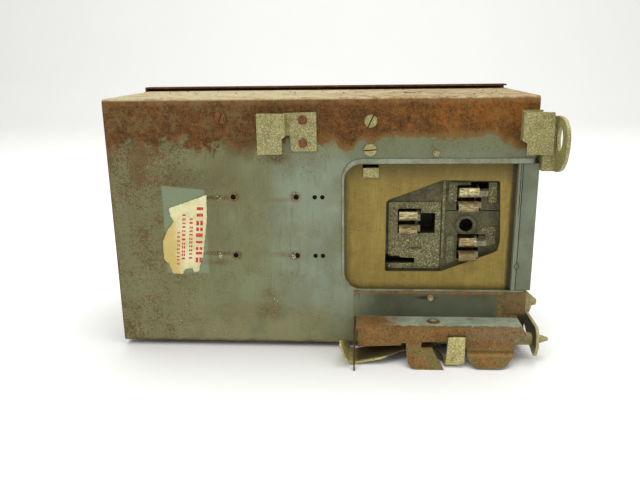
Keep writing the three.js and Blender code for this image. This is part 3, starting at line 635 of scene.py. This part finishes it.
def rusted_hood():
    """Dusty red-brown rust, with paint left on the shelf and under the flange, where painted shade
    darkens it.
    """
    s = Surface("rusted_hood", 0.0, 1.32)
    base = s.mix(s.spots(0.35, 0.65, 24, 5, 0.6), HOOD_RUST, HOOD_RUST_PALE)
    base = s.mix(s.spots(0.52, 0.64, 8, 6, 0.75), base, HOOD_ORANGE)
    base = s.lay(base, HOOD_DARK, s.spots(0.54, 0.62, 4, 6, 0.8), 0.7)
    grey_end = s.times(s.rise(s.sway(s.x, 30, 14), 128, 160), s.rise(s.z, -106, -100))
    base = s.lay(base, HOOD_GREY, grey_end, 0.55)
    right = s.times(s.rise(s.plus(s.x, s.times(s.noise(8), 8)), 104, 112), s.rise(s.z, -107, -109))
    right = s.times(right, s.rise(s.x, 124, 122))
    olive = s.times(s.spots(0.46, 0.60, 12, 5, 0.7), s.rise(s.z, -104, -109))
    olive = s.top_of(olive, s.times(right, 0.9))
    base = s.lay(base, HOOD_OLIVE, olive, 0.8)
    base = s.lay(base, DARK_RUST, s.spots(0.53, 0.62, 1.6, 4, 0.8), 0.7)
    base = s.lay(base, HOOD_POWDER, s.spots(0.55, 0.65, 1.1, 4, 0.82), 0.6)
    base = s.lay(base, HOOD_CRUMB, s.rise(s.cells(7), 0.065, 0.03), 0.9)
    rim = s.times(s.edges(1.2), s.spots(0.42, 0.56, 4, 4, 0.7))
    base = s.lay(base, HOOD_EDGE, rim, 0.7)
    # painted shade in the tab's fold, and a painted highlight on the upward-facing strip below it
    fold_shade = s.rise(s.plus(s.size_of(s.plus(s.z, 111.6)), s.times(s.noise(3, 4), 1.6)), 2.4, 0.8)
    base = s.lay(base, HOOD_FOLD_SHADE, s.times(fold_shade, s.rise(s.x, 132, 140)), 0.75)
    below = s.rise(s.size_of(s.plus(s.z, 114.4)), 1.4, 0.3)
    base = s.lay(base, HOOD_LIP_HIGHLIGHT, s.times(below, s.rise(s.x, 132, 140)), 0.5)
    shelf = s.times(s.rise(s.y, -29.2, -28.0), s.rise(s.y, -1.8, -3.0))
    fade = s.sway(s.x, 60, 9, 5, 0.75)
    shelf = s.times(shelf, s.rise(fade, 58, 88))
    ragged = s.sway(s.y, 16, 5, 5, 0.75)
    shelf = s.times(shelf, s.rise(ragged, -26.0, -23.6))
    u = s.plus(s.x, -110.6)
    v = s.plus(s.y, 14.2)
    away = s.calc("SQRT", s.plus(s.times(u, u), s.times(v, v)))
    ring = s.times(s.rise(away, 2.2, 3.2), s.rise(s.plus(away, s.times(s.noise(3), 3)), 8.8, 7.4))
    spot = s.blot(146, -92, 3.2, 60, 0, 0.3)
    spot = s.times(spot, s.rise(s.size_of(s.plus(s.y, 7)), 2.0, 1.0))
    shelf = s.times(shelf, s.inverse(s.times(s.top_of(ring, spot, clusters(s, 3, 30, 0.1)), 0.95)))
    paint = s.mix(s.spots(0.4, 0.6, 14, 5), SHELF_PAINT, SHELF_PAINT_PALE)
    paint = s.lay(paint, SHELF_SPECK, s.spots(0.54, 0.66, 1.2, 4, 0.8), 0.3)
    darker = s.times(ring, s.spots(0.40, 0.56, 1.6, 4, 0.8))
    colour = s.mix(s.times(shelf, 0.95), s.lay(base, SHELF_RING, darker, 0.7), paint)
    # back plate: dark paint and grime, with painted shade between the opening's rim and the shelf;
    # lighter towards its upper left end, where the shade fades
    back = s.rise(s.y, -2.4, -1.7)
    shade = s.mix(s.spots(0.35, 0.65, 30, 4), BACK_DARK, BACK_PALE)
    rising = s.times(s.rise(s.sway(s.x, 20, 20), 66, 24), s.rise(s.z, -112, -84))
    shade = s.lay(shade, BACK_LIT, rising, 0.95)
    centre = s.blot(126, -82, 42, 10, 0.5, 0.6)
    shade = s.lay(shade, BACK_CENTRE, centre, 0.55)
    drips = s.plus(s.noise(5, 5, 0.8, (1, 1, 4)), s.times(s.rise(s.z, -72, -65), 0.08))
    drips = s.times(s.rise(drips, 0.56, 0.64), s.rise(s.z, -78, -67))
    shade = s.lay(shade, BACK_DRIP, drips, 0.8)
    top_line = s.times(s.rise(s.z, -67.4, -65.6), s.spots(0.38, 0.54, 7, 5, 0.8))
    shade = s.lay(shade, BACK_TOP, top_line, 0.8)
    shade = s.lay(shade, BACK_NOTCH, s.blot(104, -70.5, 9, 1.8, 0.9, 0.5), 0.9)
    bare = s.mix(s.spots(0.42, 0.6, 5, 5, 0.7), BARE_STEEL, BARE_STEEL_PALE)
    shade = s.mix(s.rise(s.sway(s.x, 10, 7), 172, 173.4), shade, bare)
    colour = s.mix(back, colour, shade)
    s.bump(s.plus(s.noise(2.2, 5, 0.78), s.times(s.noise(0.8, 3), 0.5)), 0.50)
    return s.finish(colour, s.minus(0.84, s.times(s.top_of(shelf, back), 0.34)))


def plated(name="yellowed_zinc", shade=None):
    """Yellowed zinc plate, granular, with pale bloom and dark pits; shade(s) marks its painted
    shade.
    """
    s = Surface(name, 0.15, 1.6)
    tone = s.mix(s.spots(0.35, 0.65, 14, 5, 0.6), ZINC_DARK, ZINC_YELLOW)
    tone = s.mix(s.spots(0.48, 0.66, 5, 5, 0.7), tone, ZINC_GREY)
    grain = s.spots(0.50, 0.60, 1.1, 4, 0.82)
    tone = s.lay(tone, ZINC_BLOOM, grain, 0.74)
    holes = s.spots(0.53, 0.63, 1.2, 4, 0.85)
    tone = s.lay(tone, ZINC_PIT, holes, 0.75)
    streaks = s.spots(0.52, 0.64, 2.0, 5, 0.75, (1, 1, 7))
    tone = s.lay(tone, ZINC_STREAK, streaks, 0.35)
    worn_through = s.rise(s.plus(s.noise(6, 6, 0.8), s.times(s.edges(2.0), 0.10)), 0.62, 0.68)
    tone = s.lay(tone, ZINC_WORN, worn_through, 0.75)
    stain = s.times(s.spots(0.58, 0.68, 15, 5, 0.7), 0.5)
    tone = s.mix(stain, tone, ZINC_STAIN)
    tone = s.lay(tone, ZINC_EDGE, s.edges(0.8), 0.4)
    # painted shade, where shade(s) marks it
    if shade:
        tone = s.mix(shade(s), tone, ZINC_SHADE)
    s.bump(s.plus(s.noise(1.2, 4, 0.78), s.times(s.noise(5, 3), 0.6)), 0.35)
    return s.finish(tone, s.plus(0.48, s.times(holes, 0.3)))


def leaf_shade(s):
    """Painted shade of the hood over the spring leaf, away from its worn front edge and tabs."""
    plate = s.times(s.rise(s.x, 31, 40), s.rise(s.x, 121, 119))
    front = s.sway(s.y, 2, 5, 4)
    inside = s.times(plate, s.rise(front, -36.4, -33.5))
    middle = s.times(s.rise(s.x, 76, 82), s.rise(s.x, 121, 119), s.rise(s.y, -28.3, -27.6))
    return s.times(s.top_of(inside, middle), 0.95)


def crank_shade(s):
    """Painted shade on the inner side of the crank, which faces the box."""
    inner = s.rise(s.x, 204.9, 204.3)
    return s.times(inner, s.rise(s.plus(s.z, s.times(s.noise(6, 5, 0.7), 14)), -112, -98))


def slot_shade(s):
    """Painted shade in the screwdriver slots, below the heads' outer faces."""
    return s.rise(s.y, -1.50, -1.15)


def old_steel(name, tone, metallic, rust, rough=0.34):
    """Steel of this tone, with this share of rust over it and brighter edges."""
    s = Surface(name, metallic, 2.0 if metallic else 1.3)
    base = s.mix(s.spots(0.4, 0.6, 6, 4), tone, tuple(c * 1.5 for c in tone))
    if rust:
        base = s.lay(base, BROWN, s.spots(0.62 - rust * 0.3, 0.70 - rust * 0.25, 3, 5, 0.7), 0.8)
        base = s.mix(s.times(s.spots(0.55, 0.64, 1.1, 4, 0.8), 0.5), base,
                     tuple(c * 2.6 for c in tone))
    base = s.mix(s.times(s.edges(0.5), 0.3), base, tuple(min(1, c * 2.6) for c in tone))
    s.bump(s.noise(1.0, 3, 0.7), 0.14)
    return s.finish(base, s.plus(rough, s.times(s.noise(4, 4), 0.2)))


def copper(name, phase, wear):
    """Worn jaw metal: bright where rubbed, orange-brown where tarnished and in painted shade by the
    gap.
    """
    s = Surface(name, 0.45, 1.8)
    low, high = (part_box("line_jaw_" + phase)[k] / MM for k in (0, 1))
    middle = (low.z + high.z) / 2
    off = s.plus(s.z, -middle)
    gap = s.rise(s.size_of(off), 3.6, 1.2)
    lower = s.rise(off, 1, -1)
    rubbed = s.plus(s.noise(2.2, 5, 0.75, (3, 1, 1)), s.times(s.edges(1.6), 0.2))
    rubbed = s.rise(rubbed, 0.56 - wear * 0.10, 0.63 - wear * 0.08)
    dull = s.mix(s.spots(0.35, 0.65, 4, 5, 0.65), COPPER_DULL, COPPER_BROWN)
    colour = s.mix(rubbed, dull, COPPER_BRIGHT)
    colour = s.mix(s.times(lower, 0.55 - wear * 0.2), colour, COPPER_LOWER)
    # painted shade in the jaw's mouth, beside the gap
    colour = s.lay(colour, COPPER_GAP_SHADE, gap, 0.85)
    # painted highlight along the upper leaf
    crest_highlight = s.size_of(s.plus(off, -(high.z - middle) * 0.55))
    crest_highlight = s.times(s.rise(crest_highlight, 1.0, 0.2), 0.35 + wear * 0.35)
    colour = s.mix(s.times(crest_highlight, s.spots(0.40, 0.55, 3, 4, 0.7, (4, 1, 1))), colour, COPPER_CREST_HIGHLIGHT)
    scratch = s.spots(0.54, 0.62, 0.6, 3, 0.75, (10, 1, 1))
    colour = s.lay(colour, COPPER_SCRATCH, scratch, 0.55)
    # painted shade on parts set further back in the box
    rear = s.times(s.rise(s.y, 5.5, 9), s.rise(s.y, 46, 42))
    colour = s.lay(colour, COPPER_REAR_SHADE, rear, 0.75)
    s.bump(s.plus(s.noise(1.4, 4, 0.75), s.times(scratch, 0.6)), 0.25)
    return s.finish(colour, s.plus(0.22, s.times(s.noise(3, 4), 0.3)))


def fibre_board():
    """Tan vulcanised fibre, with fine vertical grain, painted shade along its edges, deepest in the
    corners, and darker towards the top.
    """
    s = Surface("fibre_board", 0.0, 1.5)
    grain = s.noise(0.9, 4, 0.7, (1, 1, 26))
    base = s.mix(s.spots(0.35, 0.65, 16, 4, 0.6, (1, 1, 3)), FIBRE_DARK, FIBRE_PALE)
    base = s.lay(base, FIBRE_GRAIN, s.rise(grain, 0.40, 0.62), 0.45)
    weave = s.spots(0.45, 0.6, 0.8, 2, 0.5, (9, 1, 1))
    base = s.lay(base, FIBRE_WEAVE, weave, 0.18)
    rim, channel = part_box("opening_rim"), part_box("end_channel")
    left, right = rim[0].x / MM + 3.2, channel[0].x / MM
    bottom, top = rim[0].z / MM, rim[1].z / MM - 5
    # painted shade along the rim's left, bottom and top edges, reaching furthest in at the lower
    # left corner
    border = s.calc("MINIMUM", s.plus(s.x, -left),
                    s.calc("MINIMUM", s.plus(s.z, -bottom), s.minus(top, s.z)))
    cornered = s.plus(s.times(s.top_of(s.minus(left + 16, s.x), 0.0), 0.5),
                      s.times(s.top_of(s.minus(bottom + 16, s.z), 0.0), 0.5))
    border = s.minus(border, s.top_of(s.plus(cornered, -8), 0.0))
    rim_shade = s.rise(s.sway(border, 8, 7, 5, 0.7), 7, -2)
    # darker towards the top
    darker_top = s.times(s.rise(s.sway(s.z, 14, 10, 5, 0.7), 34, 58), 0.95)
    # painted shade in the gap beside the end channel
    side = s.rise(s.plus(s.x, s.times(s.noise(5, 4), 2)), right - 5.2, right - 1.6)
    base = s.lay(base, FIBRE_DARKENED, s.top_of(rim_shade, darker_top), 0.68)
    base = s.lay(base, FIBRE_GAP_SHADE, side, 0.92)
    flecks = s.spots(0.64, 0.72, 1.2, 3, 0.8)
    base = s.lay(base, FIBRE_FLECK, flecks, 0.7)
    base = s.lay(base, FIBRE_PIT, pits(s, 4.5, 0.2), 0.8)
    smears = s.spots(0.52, 0.66, 14, 6, 0.75)
    base = s.lay(base, FIBRE_SMEAR, smears, 0.4)
    # painted shade on the cut-out's walls and further back
    base = s.lay(base, FIBRE_CUT_SHADE, s.rise(s.y, 6.35, 6.7), 0.8)
    s.bump(s.plus(s.times(grain, 0.8), s.times(s.noise(1.2, 3), 0.4)), 0.10)
    return s.finish(base, 0.74)


def moulding():
    """Glass-filled moulding: dark grey-green, full of pale grains, dirt in the pits, painted shade
    further back.
    """
    s = Surface("granular_moulding", 0.0, 1.5)
    base = s.mix(s.spots(0.38, 0.62, 9, 5, 0.65), MOULD_DARK, MOULD_PALE)
    grains = s.spots(0.50, 0.58, 1.1, 3, 0.85)
    raised = s.rise(s.y, 14.3, 12.9)
    base = s.mix(s.times(grains, s.plus(0.22, s.times(raised, 0.42))), base, MOULD_GRAIN)
    shards = s.spots(0.56, 0.62, 1.7, 3, 0.8)
    base = s.mix(s.times(shards, s.times(raised, 0.75)), base, MOULD_SHARD)
    pale = s.spots(0.50, 0.64, 13, 5, 0.65)
    base = s.mix(s.times(pale, s.times(raised, 0.35)), base, MOULD_DUSTY)
    holes = s.spots(0.54, 0.63, 1.2, 3, 0.78)
    base = s.lay(base, MOULD_PIT, holes, 0.75)
    # painted shade on the faces set further back
    base = s.lay(base, MOULD_DEEP_SHADE, s.rise(s.y, 14.7, 17), 0.9)
    base = s.lay(base, MOULD_EDGE, s.edges(0.9), 0.30)
    s.bump(s.plus(s.noise(0.9, 3, 0.82), s.times(s.noise(3, 4), 0.8)), 0.45)
    return s.finish(base, 0.62)


def plastic(name, colour, rough):
    """Dark moulding under dust, dull, and painted black as shade where the rear wall's holes show
    it, so they look black.
    """
    s = Surface(name, 0.0, 1.5)
    lighter = tuple(c * 1.7 + 0.01 for c in colour)
    base = s.mix(s.spots(0.4, 0.7, 8, 5, 0.65), colour, lighter)
    base = s.lay(base, PLASTIC_FLECK, s.spots(0.6, 0.72, 1.2, 3, 0.8), 0.4)
    dust = s.times(s.spots(0.45, 0.65, 30, 5, 0.6), 0.35)
    base = s.mix(dust, base, PLASTIC_DUST)
    # painted shade: black where the rear wall's holes show the base
    base = s.mix(s.rise(s.y, 2.6, 2.2), base, HOLE_SHADE_BLACK)  # seen only through the rear wall's holes
    s.shader.inputs["Specular IOR Level"].default_value = 0.12
    s.bump(s.noise(1.2, 4, 0.7), 0.06)
    return s.finish(base, s.plus(rough, s.times(s.noise(5), 0.15)))


def fuse_body():
    """Fibre tube with a brass ferrule at each end."""
    s = Surface("fuse_tube", 0.25, 1.5)
    low, high = (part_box("fuse_a")[k].z / MM for k in (0, 1))
    cap, seam_width = 15.4, 1.4  # mm, of the ferrule and of the dark line beside it
    ferrule = s.top_of(s.rise(s.z, low + cap + 0.2, low + cap - 0.2),
                       s.rise(s.z, high - cap - 0.2, high - cap + 0.2))
    near = s.top_of(s.rise(s.z, low + cap + seam_width + 0.4, low + cap + seam_width),
                    s.rise(s.z, high - cap - seam_width - 0.4, high - cap - seam_width))
    seam = s.times(near, s.inverse(ferrule))
    tube = s.mix(s.spots(0.4, 0.6, 7, 5, 0.6, (1, 1, 4)), TUBE_DARK, TUBE_PALE)
    tube = s.lay(tube, TUBE_GRAIN, s.spots(0.5, 0.65, 0.8, 3, 0.7, (1, 1, 20)), 0.4)
    brass = s.mix(s.spots(0.4, 0.65, 4, 5, 0.7), BRASS, BRASS_DULL)
    brass = s.lay(brass, BRASS_STAIN, s.spots(0.58, 0.7, 1.3, 4, 0.7), 0.6)
    colour = s.mix(seam, s.mix(ferrule, tube, brass), TUBE_SEAM)
    s.bump(s.plus(s.noise(1.0, 3, 0.7), s.times(ferrule, 3)), 0.10)
    return s.finish(colour, s.minus(0.7, s.times(ferrule, 0.35)))


def aged_paper():
    """Cream paper, browner along its torn left side."""
    s = Surface("aged_paper", 0.0, 1.45)
    base = s.mix(s.spots(0.35, 0.65, 14, 5, 0.6), PAPER_DARK, PAPER_PALE)
    torn = s.rise(s.sway(s.x, 12, 7, 5, 0.7), -132, -143)
    torn = s.times(torn, s.rise(s.z, 12, 4))
    base = s.lay(base, PAPER_TORN, torn, 0.75)
    stains = s.spots(0.58, 0.68, 6, 5, 0.7)
    base = s.lay(base, PAPER_STAIN, stains, 0.4)
    base = s.lay(base, PAPER_SPECK, s.spots(0.64, 0.70, 1.0, 3), 0.6)
    s.bump(s.plus(s.noise(0.7, 3), s.times(s.noise(9, 3), 1.5)), 0.12)
    return s.finish(base, 0.85)


def faded_ink():
    s = Surface("faded_red_ink", 0.0, 1.45)
    worn = s.spots(0.55, 0.64, 1.3, 4, 0.78)
    base = s.lay(INK_RED, INK_WORN, worn, 0.7)
    s.bump(s.noise(0.7, 3), 0.03)
    return s.finish(base, 0.8)


def weld_spatter():
    s = Surface("weld_spatter", 0.2, 1.6)
    base = s.mix(s.spots(0.4, 0.6, 1.2, 4, 0.7), BEAD_DARK, BEAD_PALE)
    s.bump(s.noise(0.8, 3, 0.7), 0.15)
    return s.finish(base, 0.5)


PAPER = aged_paper()
BEVEL_ANGLE = math.radians(38)  # sharper folds than this are rounded
# each finish: the width of its worn edges in mm, its material, and the nodes it covers
FINISHES = [
    (0.35, painted_wrapper(), ["enclosure_wrapper"]),
    (0.35, painted_steel("painted_steel", 0.25, (124, 400)), ["end_plate_left", "end_plate_right"]),
    (0.5, painted_steel("rim_paint", 0.05, (400, 400), 1.1, 0.5), ["opening_rim"]),
    (0.4, channel_paint(), ["end_channel"]),
    (0.45, painted_steel("cover_paint", 0.40, (121, 206)), ["cover", "hinge_leaf"]),
    (0.5, rusted_hood(), ["clamp_hood"]),
    (0.35, plated(), ["hanger_hook_left", "hanger_hook_right", "operating_lever", "block_pin_upper",
                      "block_pin_lower", "cover_latch", "clamp_shaft", "stop_tab", "barrier_clip"]),
    (0.35, plated("zinc_screw", slot_shade), ["rear_screw_middle", "rear_screw_barrier"]),
    (0.3, plated("shaded_zinc_leaf", leaf_shade), ["clamp_leaf"]),
    (0.4, plated("shaded_zinc_crank", crank_shade), ["clamp_crank"]),
    (0.35, old_steel("rusty_fastener", (0.150, 0.062, 0.024), 0.0, 0.45, 0.7),
     ["rear_screw_left", "hook_rivet_upper", "hook_rivet_lower"]),
    (0.3, old_steel("grimy_bolt", (0.008, 0.008, 0.006), 0.0, 0.0, 0.8), ["block_bolt"]),
    (0.25, old_steel("spring_steel", (0.150, 0.138, 0.075), 0.2, 0.4, 0.6),
     ["lever_nut", "operating_shaft", "rotor_bearing", "hinge_pin",
      *(f"jaw_spring_{p}" for p in PHASES), *(f"lug_screw_{p}" for p in PHASES)]),
    (0.45, copper("worn_jaw_a", "a", 0.7), ["line_jaw_a"]),
    (0.45, copper("worn_jaw_b", "b", 0.0), ["line_jaw_b"]),
    (0.45, copper("worn_jaw_c", "c", 1.0), ["line_jaw_c"]),
    (0.3, old_steel("dark_rusty_plate", (0.045, 0.024, 0.011), 0.0, 0.5, 0.8), ["hood_end_plate"]),
    (0.45, copper("worn_copper", "a", 0.3), ["ground_lug", *(
        f"{n}_{p}" for p in PHASES
        for n in ("moving_blade", "line_strap", "fuse_clip_upper", "fuse_clip_lower"))]),
    (0.3, fibre_board(), ["insulating_barrier"]),
    (0.45, moulding(), ["stab_block"]),
    (0.6, plastic("phenolic_moulding", (0.030, 0.026, 0.022), 0.35), ["switch_base", "rotor_bar"]),
    (0.5, fuse_body(), [f"fuse_{p}" for p in PHASES]),
    (0, PAPER, ["paper_label"]),
]
for width, material, names in FINISHES:
    for name in names:
        node = NODES[name]
        node.data.materials.clear()
        node.data.materials.append(material)
        if width:
            bevel = node.modifiers.new("worn_edges", "BEVEL")
            bevel.width = width * MM
            bevel.segments = 2
            bevel.limit_method = "ANGLE"
            bevel.angle_limit = BEVEL_ANGLE
            bevel.use_clamp_overlap = True
            bevel.harden_normals = True


# ---- new pieces ----
def mesh_piece(name, body, material, build):
    """A mesh made by build(bmesh) in millimetres, riding on a body."""
    made = bmesh.new()
    build(made)
    bmesh.ops.scale(made, vec=(MM, MM, MM), verts=made.verts)
    bmesh.ops.recalc_face_normals(made, faces=made.faces)
    data = bpy.data.meshes.new(name)
    made.to_mesh(data)
    made.free()
    data.shade_smooth()
    piece = bpy.data.objects.new(name, data)
    bpy.context.scene.collection.objects.link(piece)
    piece.data.materials.append(material)
    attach(piece, body)
    return piece


def torn_outline(node, step, ragged, seed):
    """The node's outline on the X,Z plane in mm, cut into short steps and roughened."""
    mesh = NODES[node].data
    front = min(v.co.y for v in mesh.vertices)
    keep = {v.index for v in mesh.vertices if abs(v.co.y - front) < 1e-5}
    count = {}
    place = {i: mesh.vertices[i].co / MM for i in keep}
    spot = {i: (round(place[i].x, 3), round(place[i].z, 3)) for i in keep}
    for face in mesh.polygons:
        if all(i in keep for i in face.vertices):
            ring = [spot[i] for i in face.vertices]
            for a, b in zip(ring, ring[1:] + ring[:1]):
                count.setdefault(frozenset((a, b)), []).append((a, b))
    after = {pairs[0][0]: pairs[0][1] for pairs in count.values() if len(pairs) == 1}
    start = min(after)
    line, here = [start], after[start]
    while here != start:
        line.append(here)
        here = after[here]
    points = []
    for a, b in zip(line, line[1:] + line[:1]):
        pieces = max(1, round(math.dist(a, b) / step))
        for k in range(pieces):
            x = a[0] + (b[0] - a[0]) * k / pieces
            z = a[1] + (b[1] - a[1]) * k / pieces
            at = Vector((x * 0.45, z * 0.45, seed))
            points.append(Vector((x + ragged * noise.noise(at), z + ragged * noise.noise(-at))))
    return points


def label_height(x, z):
    """How far the paper stands off the steel, in mm: wrinkled, and lifted on its torn left."""
    torn = max(0.0, min(1.0, (-134 - x) / 16))
    wrinkle = 0.5 + 0.5 * noise.noise(Vector((x * 0.10, z * 0.10, 3.1)))
    fine = noise.noise(Vector((x * 0.5, z * 0.35, 9.4)))
    return 0.25 + 0.35 * wrinkle + 0.08 * fine + torn * torn * (1.2 + 0.8 * fine)


GRID = 2.2  # mm between the label's inner points


def make_label():
    """A thin torn sheet in the outline of the CAD label, filled with a fine mesh."""
    outline = torn_outline("paper_label", 1.1, 0.7, 5.0)
    xs, zs = [p.x for p in outline], [p.y for p in outline]
    grid, x = [], min(xs)
    while x < max(xs):
        z = min(zs)
        while z < max(zs):
            grid.append(Vector((x, z)))
            z += GRID
        x += GRID
    ring = [(i, (i + 1) % len(outline)) for i in range(len(outline))]
    inside_only, tolerance = 1, 1e-4
    spots, _, faces, *_ = geometry.delaunay_2d_cdt(
        outline + grid, ring, [list(range(len(outline)))], inside_only, tolerance)

    def build(made):
        verts = [made.verts.new((p.x, -label_height(p.x, p.y), p.y)) for p in spots]
        for face in faces:
            made.faces.new([verts[i] for i in face])
        loose = [v for v in made.verts if not v.link_faces]
        bmesh.ops.delete(made, geom=loose, context="VERTS")

    label = mesh_piece("torn_label", "enclosure", PAPER, build)
    thick = label.modifiers.new("paper_thickness", "SOLIDIFY")
    thick.thickness = 0.16 * MM
    thick.offset = 0
    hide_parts("paper_label")


# rows of plain printed blocks: where each row starts, its width, and block and gap lengths
ROWS = [
    ((-113.4, 19.0), 6.4, 57, 5.4, 2.4),
    ((-122.6, 8.0), 3.2, 45, 2.9, 1.6),
    ((-129.4, 12.0), 3.2, 50, 2.9, 1.6),
    ((-136.0, -6.0), 2.6, 34, 2.4, 1.8),
]


LEAN = -0.085  # the rows' sideways run for each mm of height
PRINT_LIFT = 0.16  # mm, ink over paper


def make_print():
    """Rows of plain red blocks, with no lettering, that follow the paper."""
    rng = random.Random(11)

    def block(made, x0, z0, top, length, half):
        """One block as a small grid that follows the paper."""
        rows = []
        for k in range(4):
            z = top - length * k / 3
            middle = x0 + (z0 - z) * LEAN
            reach = half * rng.uniform(0.92, 1.04)
            spots = [middle + u * reach for u in (-1, -0.5, 0, 0.5, 1)]
            rows.append([made.verts.new((x, -label_height(x, z) - PRINT_LIFT, z)) for x in spots])
        for above, below in zip(rows, rows[1:]):
            for i in range(4):
                made.faces.new((above[i], above[i + 1], below[i + 1], below[i]))

    def build(made):
        for (x0, z0), width, span, length, gap in ROWS:
            top = z0
            while top - length > z0 - span:
                long = length * rng.uniform(0.55, 1.0)
                half = width / 2
                if rng.random() < 0.35:
                    # a hollow block: two thin strokes with paper between them
                    block(made, x0 - half * 0.60, z0, top, long, half * 0.40)
                    block(made, x0 + half * 0.60, z0, top, long, half * 0.40)
                else:
                    block(made, x0, z0, top, long * 0.70, half)
                top -= long + gap * rng.uniform(0.8, 1.3)

    ink = mesh_piece("label_print", "enclosure", faded_ink(), build)
    thick = ink.modifiers.new("ink_thickness", "SOLIDIFY")
    thick.thickness = 0.04 * MM


# weld beads on the rear face: x, z, how many, and how far they spread, in mm
TACKS = [
    (-93.4, 27.6, 9, 2.4),
    (-95.5, -30.5, 9, 2.4),
    (-24.5, -30.2, 6, 2.2),
    (-48, -76, 7, 7.0),
    (-108, 44, 4, 10.0),
    (-150, -88, 5, 16.0),
]


def make_spatter():
    """Beads of weld metal scattered round the tack welds on the rear face."""
    rng = random.Random(7)

    def build(made):
        for x, z, count, spread in TACKS:
            for _ in range(count):
                size = rng.uniform(0.25, 0.95) * (0.6 if spread > 5 else 1)
                across = rng.gauss(0, spread * 0.5)
                spot = Vector((x + across, -0.1, z + rng.gauss(0, spread * 0.5)))
                ball = bmesh.ops.create_icosphere(made, subdivisions=2, radius=size)
                for v in ball["verts"]:
                    lump = 1 + 0.35 * noise.noise(v.co * 1.7 + spot)
                    v.co = Vector((v.co.x * lump, v.co.y * lump * 0.55, v.co.z * lump)) + spot

    mesh_piece("weld_spatter", "enclosure", weld_spatter(), build)


TOP_WALL = 121.0  # mm, the height of the top wall's outer face
CRUMBS = 90


def make_debris():
    """Crumbs of rust and dust lying on the top of the box, many of them in one heap."""
    rng = random.Random(23)

    def build(made):
        for _ in range(CRUMBS):
            if rng.random() < 0.4:
                x, y = rng.gauss(88, 7), rng.gauss(70, 8)
            else:
                x, y = rng.uniform(-195, 195), rng.uniform(6, 136)
            size = rng.uniform(0.25, 0.9)
            spot = Vector((x, y, TOP_WALL + size * 0.4))
            ball = bmesh.ops.create_icosphere(made, subdivisions=1, radius=size)
            for v in ball["verts"]:
                lump = 1 + 0.5 * noise.noise(v.co * 2.1 + Vector((x, y, 0)))
                v.co = Vector((v.co.x * lump * 1.3, v.co.y * lump, v.co.z * lump * 0.6)) + spot

    dusty_rust = old_steel("rust_crumbs", (0.200, 0.130, 0.065), 0.0, 0.6)
    mesh_piece("rust_crumbs", "enclosure", dusty_rust, build)


make_label()
make_print()
make_spatter()
make_debris()


# ---- floor and light ----
def make_stage():
    """A pale floor that turns up into a backdrop; turn is the radius of its curve."""
    low = CAD_BOX[0].z
    ground = bmesh.new()
    front, back, side, height = -4.0, 2.2, 5.0, 3.5
    turn, steps = 0.9, 14
    line = [(front, 0.0)]
    line += [(back + turn * math.sin(t), turn * (1 - math.cos(t)))
             for t in (math.pi / 2 * i / steps for i in range(steps + 1))]
    line.append((back + turn, height))
    rows = [[ground.verts.new((x, y, low + z)) for y, z in line] for x in (-side, side)]
    for i in range(len(line) - 1):
        ground.faces.new((rows[0][i], rows[1][i], rows[1][i + 1], rows[0][i + 1]))
    data = bpy.data.meshes.new("floor")
    ground.to_mesh(data)
    ground.free()
    data.shade_smooth()
    floor = bpy.data.objects.new("floor", data)
    bpy.context.scene.collection.objects.link(floor)
    s = Surface("pale_backdrop", 0.0, 1.4)
    floor.data.materials.append(s.finish(s.mix(s.noise(400, 2), BACKDROP_DARK, BACKDROP_PALE), 0.6))


# place, target, size and watts of each area light
LIGHTS = {
    "key_light": ((-0.6, -1.1, 1.5), (0, 0, 0), (1.2, 0.9), 9),
    "top_light": ((0.2, 0.35, 1.8), (0, 0.05, 0), (1.8, 1.4), 26),
    "fill_light": ((1.5, -0.9, 0.8), (0, 0, 0), (1.2, 1.2), 4),
    "backdrop_light": ((0, 0.9, 2.2), (0, 3.0, 0.7), (3.0, 1.0), 19),
}
SKY_COLOUR, SKY_STRENGTH = (1.0, 1.0, 0.985, 1), 0.62


def make_light():
    """Soft studio light: a pale sky and four large lamps."""
    world = bpy.data.worlds.new("studio")
    world.use_nodes = True
    sky = world.node_tree.nodes["Background"]
    sky.inputs["Color"].default_value = SKY_COLOUR
    sky.inputs["Strength"].default_value = SKY_STRENGTH
    bpy.context.scene.world = world
    for name, (place, target, size, watts) in LIGHTS.items():
        data = bpy.data.lights.new(name, "AREA")
        data.shape = "RECTANGLE"
        data.size, data.size_y = size
        data.energy = watts
        light = bpy.data.objects.new(name, data)
        light.location = place
        aim = Vector(target) - Vector(place)
        light.rotation_euler = aim.to_track_quat("-Z", "Y").to_euler()
        bpy.context.scene.collection.objects.link(light)
    bpy.context.scene.view_settings.view_transform = "Standard"


make_stage()
make_light()
